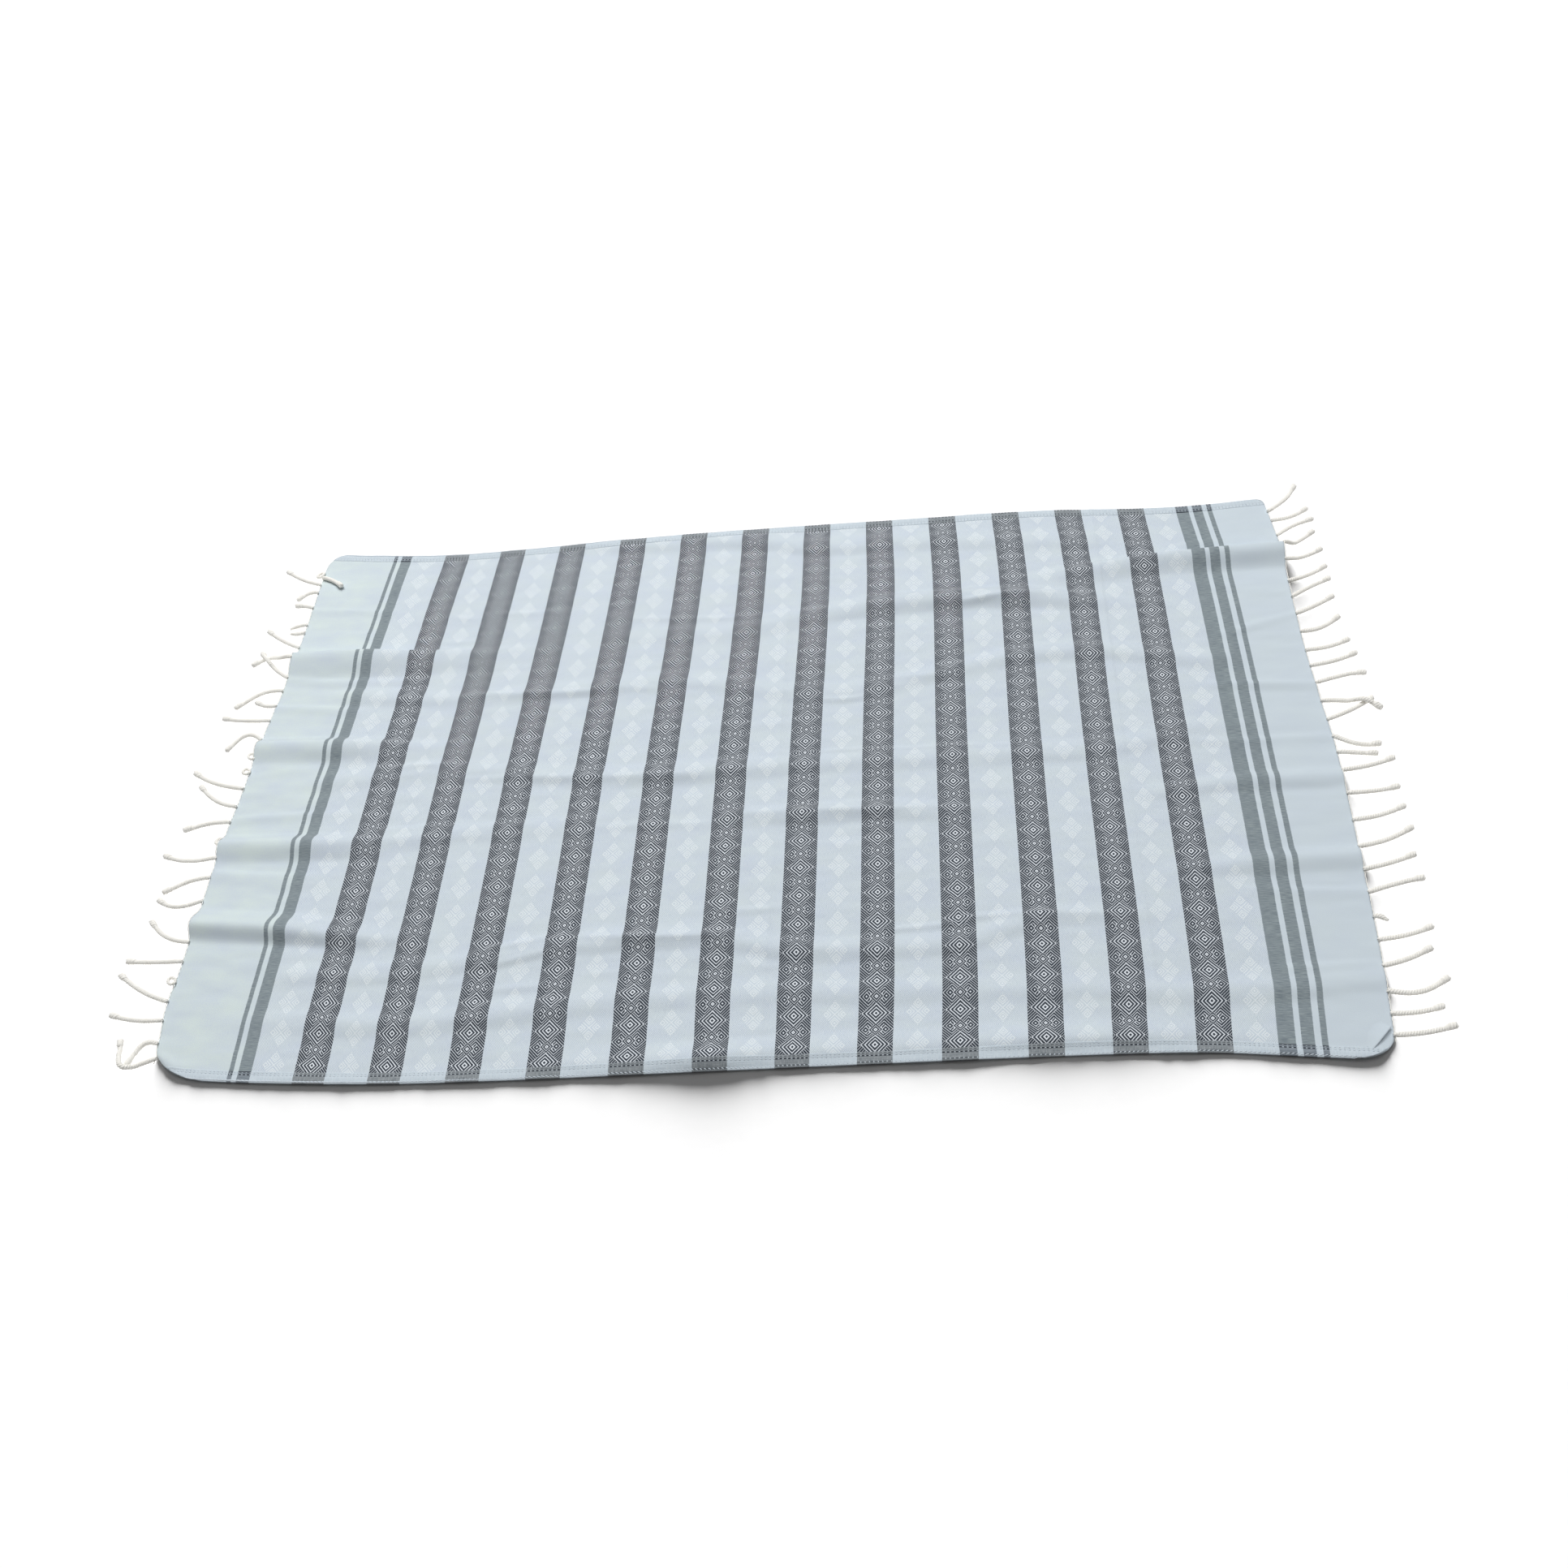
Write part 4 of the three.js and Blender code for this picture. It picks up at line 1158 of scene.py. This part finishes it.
def weave_material():
    """The cloth: dark bands and pale columns of diamonds, grey stripes and plain ends."""
    s = Surface("cloth_weave")
    along, across = s.flat()
    x = along + s.noise(along, across, WANDER_ALONG).spread(0.9)
    y = across + s.noise(along, across, WANDER_ACROSS).spread(0.8)
    from_band = band_offset(x)
    to_row = y.wrapped(ROW_PITCH).size() * (LINES_IN_ROW / ROW_PITCH)
    from_small = to_row * -1 + LINES_IN_ROW / 2
    ink = dark_figure(from_band, from_small)
    white = pale_figure(from_band.off(LINES_IN_PITCH / 2), to_row)
    in_band = from_band.below(BAND_HALF, SOFT)
    in_figures = stripe(x, FIGURE_START, FIGURE_END)
    grey = grey_stripes(x)

    cloud = s.noise(along, across, CLOUDS).sharper(0.4)
    cloud = cloud.math("ADD", s.noise(along, across, SPECKS).spread(1.4), clamp=True)
    slub = s.noise(along, across, SLUBS).sharper(0.25)
    weft = s.noise(along, across, WEFT).sharper(0.3)
    ground = s.mix(cloud, PALE, PALE_CLOUD)
    pale = s.mix(white, s.mix(weft * 0.35, ground, PALE_THREAD), PALE_THREAD)
    dark = s.mix(ink, BAND_THREAD, s.mix(slub * 0.6, INK, INK_WORN))
    figures = s.mix(in_band, pale, dark)
    plain = s.mix(cloud * along.below(0.0, TONE_DRIFT), PLAIN, PLAIN_CLOUD)
    greys = s.mix(slub, s.mix(cloud * 0.6, GREY, GREY_CLOUD), GREY_SLUB)
    colour = s.mix(grey, s.mix(in_figures, plain, figures), greys)

    floats = (ink * in_band * -0.5 + white.without(in_band) * 0.5) * in_figures
    relief = floats + s.noise(along, across, THREADS) * 0.6
    return s.finish(colour, relief, depth=0.35, roughness=ROUGHNESS, sheen=SHEEN)


def sewing_gaps(along, inward, row, wide):
    """1 between the stitches of one row, where the hem's own dark thread shows."""
    gap = (along / STITCH_PITCH - 0.5).wrapped(1.0).size().below(0.3, 0.12)
    return gap * inward.off(row.inward).below(wide, 0.5)


HEM_EDGE_SHADE = -0.95  # beyond this the hem's edge turns under; in the bands and grey stripes that edge is painted ink-dark as painted shade
HEM_FOLD = 14.2  # where its inner edge is turned in


def hem_material():
    """The hems: dark bands show grey there, with rows of sewing and fine ribs over them, and
    painted shade along their outer edge in the bands and grey stripes.
    """
    s = Surface("hem_weave")
    along, inward = s.flat()
    in_band = band_offset(along).below(BAND_HALF, SOFT) * stripe(along, FIGURE_START, FIGURE_END)
    grey = grey_stripes(along)
    ribs = s.noise(along, inward, RIBS).sharper(0.25)
    rows = s.noise(along, inward, HEM_LINES).sharper(0.25)
    inner, middle, outer = STITCH_ROWS
    gaps = (
        sewing_gaps(along, inward, inner, wide=0.5) * 0.55
        | sewing_gaps(along, inward, middle, wide=0.8)
        | sewing_gaps(along, inward, outer, wide=1.1) * 0.55
    )
    # the real dark thread between stitches, plus painted shade: the hem's outer edge, where it
    # turns under, is painted ink-dark
    dark = gaps | inward.below(HEM_EDGE_SHADE, 0.3)
    at_fold = inward.off(HEM_FOLD).below(0.7, 0.5)
    band = s.mix(ribs * 0.5 + rows * 0.5, HEM_BAND, HEM_BAND_LIGHT)
    band = s.mix(dark, band, INK)
    stripes = s.mix(rows, HEM_GREY, HEM_GREY_LIGHT)
    stripes = s.mix(dark | at_fold, stripes, INK)
    pale = s.mix(ribs * 0.3, HEM_PALE, PALE_THREAD)
    colour = s.mix(grey, s.mix(in_band, pale, band), stripes)
    relief = ribs * 0.4 + rows * 0.3
    return s.finish(colour, relief, depth=0.3, roughness=ROUGHNESS, sheen=SHEEN)


def yarn_material(name, light, deep, depth):
    s = Surface(name)
    place = s.place()
    strands = s.noise_at(place, scale=900.0, detail=3.0)
    tone = s.noise_at(place, scale=120.0, detail=2.0)
    colour = s.mix((strands * 0.6 + tone * 0.4).sharper(0.5), deep, light)
    return s.finish(colour, strands, depth, roughness=YARN_ROUGHNESS, sheen=YARN_SHEEN)


def floor_material():
    s = Surface("floor_paper")
    grain = s.noise_at(s.place(), scale=60.0, detail=2.0)
    colour = s.mix(grain, PAPER_DEEP, PAPER)
    return s.finish(colour, grain, depth=0.05, roughness=0.95, sheen=0.0)


# The room

CAMERA_PLACE = (243.0, -1375.8, 1566.2)  # these two in the cloth's own millimetres
CAMERA_AIM = (24.9, -51.8, 0.0)
CAMERA_ROLL = math.radians(-8.74)
CAMERA_LENS = 33.54
SENSOR = 36.0

BOX_PLACE, BOX_WATTS, BOX_SIZE = (-1.4, 2.6, 4.4), 177.0, 2.7  # places and sizes in metres
FILL_PLACE, FILL_WATTS, FILL_SIZE = (0.6, 0.9, 6.2), 255.0, 7.0
LOW_PLACE, LOW_STRENGTH, LOW_ANGLE = (-0.4, 2.6, 0.5), 15.0, math.radians(17)
HIGH_PLACE, HIGH_STRENGTH, HIGH_ANGLE = (-0.7, 2.2, 1.8), 0.4, math.radians(45)
ROOM_LIGHT = 0.065
FLOOR_SIZE = 30.0
FLOOR_DROP = 0.0002  # how far below the surface's own height the floor lies


def make_camera():
    data = bpy.data.cameras.new("camera")
    data.lens = CAMERA_LENS
    data.sensor_width = SENSOR
    data.dof.use_dof = False
    camera = bpy.data.objects.new("camera", data)
    bpy.context.scene.collection.objects.link(camera)
    place, aim = (Vector(p) for p in placed([CAMERA_PLACE, CAMERA_AIM]))
    level = (aim - place).to_track_quat("-Z", "Y").to_matrix().to_4x4()
    camera.matrix_world = Matrix.Translation(place) @ level @ Matrix.Rotation(CAMERA_ROLL, 4, "Z")
    bpy.context.scene.camera = camera


def light_group(name, objects):
    """A group of objects that a lamp lights, leaves out or is blocked by."""
    group = bpy.data.collections.new(name)
    for item in objects:
        group.objects.link(item)
    return group


def make_lamp(name, kind, place, strength, **settings):
    """A lamp that shines from its place towards the middle of the cloth."""
    data = bpy.data.lights.new(name, kind)
    data.energy = strength
    for key, value in settings.items():
        setattr(data, key, value)
    lamp = bpy.data.objects.new(name, data)
    lamp.location = place
    lamp.rotation_euler = (-Vector(place)).to_track_quat("-Z", "Y").to_euler()
    bpy.context.scene.collection.objects.link(lamp)
    return lamp


def light_scene(floor, sheets):
    """A soft box and a wide fill light the towel. Two lamps light the floor, where a lower one
    adds the soft shadow of the cloth's edges, and a higher one the short shadows of the cords."""
    box = make_lamp("soft_box", "AREA", BOX_PLACE, BOX_WATTS, shape="DISK", size=BOX_SIZE)
    fill = make_lamp("fill", "AREA", FILL_PLACE, FILL_WATTS, shape="DISK", size=FILL_SIZE)
    low = make_lamp("low_lamp", "SUN", LOW_PLACE, LOW_STRENGTH, angle=LOW_ANGLE)
    high = make_lamp("high_lamp", "SUN", HIGH_PLACE, HIGH_STRENGTH, angle=HIGH_ANGLE)
    low.light_linking.receiver_collection = light_group("floor_only", [floor])
    low.light_linking.blocker_collection = light_group("sheets_only", sheets)
    high.light_linking.receiver_collection = light_group("floor_too", [floor])
    towel = light_group("all_but_floor", [floor])
    towel.collection_objects[0].light_linking.link_state = "EXCLUDE"
    box.light_linking.receiver_collection = towel
    fill.light_linking.receiver_collection = towel


def make_floor(material):
    half = FLOOR_SIZE / 2
    mesh = bpy.data.meshes.new("floor")
    corners = [(-half, -half), (half, -half), (half, half), (-half, half)]
    mesh.from_pydata([(x, y, -FLOOR_DROP) for x, y in corners], [], [(0, 1, 2, 3)])
    mesh.materials.append(material)
    floor = bpy.data.objects.new("floor", mesh)
    bpy.context.scene.collection.objects.link(floor)
    return floor


def make_world(strength):
    """A white room: it looks white past the floor's edge, and adds only a little light."""
    world = bpy.data.worlds.new("studio")
    world.use_nodes = True
    tree = world.node_tree
    back = tree.nodes["Background"]
    back.inputs["Color"].default_value = (1.0, 1.0, 1.0, 1.0)
    seen = Field(tree, tree.nodes.new("ShaderNodeLightPath").outputs["Is Camera Ray"])
    tree.links.new((seen | strength).output, back.inputs["Strength"])
    bpy.context.scene.world = world


def main():
    make_camera()
    floor = make_floor(floor_material())
    make_world(ROOM_LIGHT)
    bpy.context.scene.view_settings.view_transform = "Standard"

    hem_cloth = hem_material()
    cream = yarn_material("cord_yarn", CREAM, CREAM_DEEP, depth=0.25)
    thread = yarn_material("sewing_thread", SEWING, SEWING_DEEP, depth=0.1)
    cloth = cloth_shell(weave_material())
    lip = open_lip(cloth.data.materials[0])
    hem_near = hem_band("hem_near_band", False, hem_cloth)
    hem_far = hem_band("hem_far_band", True, hem_cloth)
    sewn_near = hem_stitches("hem_near_stitches", False, thread)
    sewn_far = hem_stitches("hem_far_stitches", True, thread)
    left = fringe("fringe_left_cords", -1, CORDS_LEFT, cream, seed=11)
    right = fringe("fringe_right_cords", 1, CORDS_RIGHT, cream, seed=12)

    light_scene(floor, [cloth, hem_near, hem_far])

    for piece, node, slot in (
        (cloth, "cloth", "cloth"),
        (hem_near, "hem_near", "hem"),
        (hem_far, "hem_far", "hem"),
        (left, "fringe_left", "fringe"),
        (right, "fringe_right", "fringe"),
    ):
        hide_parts(node)
    for piece in (cloth, lip, hem_near, hem_far, sewn_near, sewn_far, left, right):
        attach(piece, "root")


main()
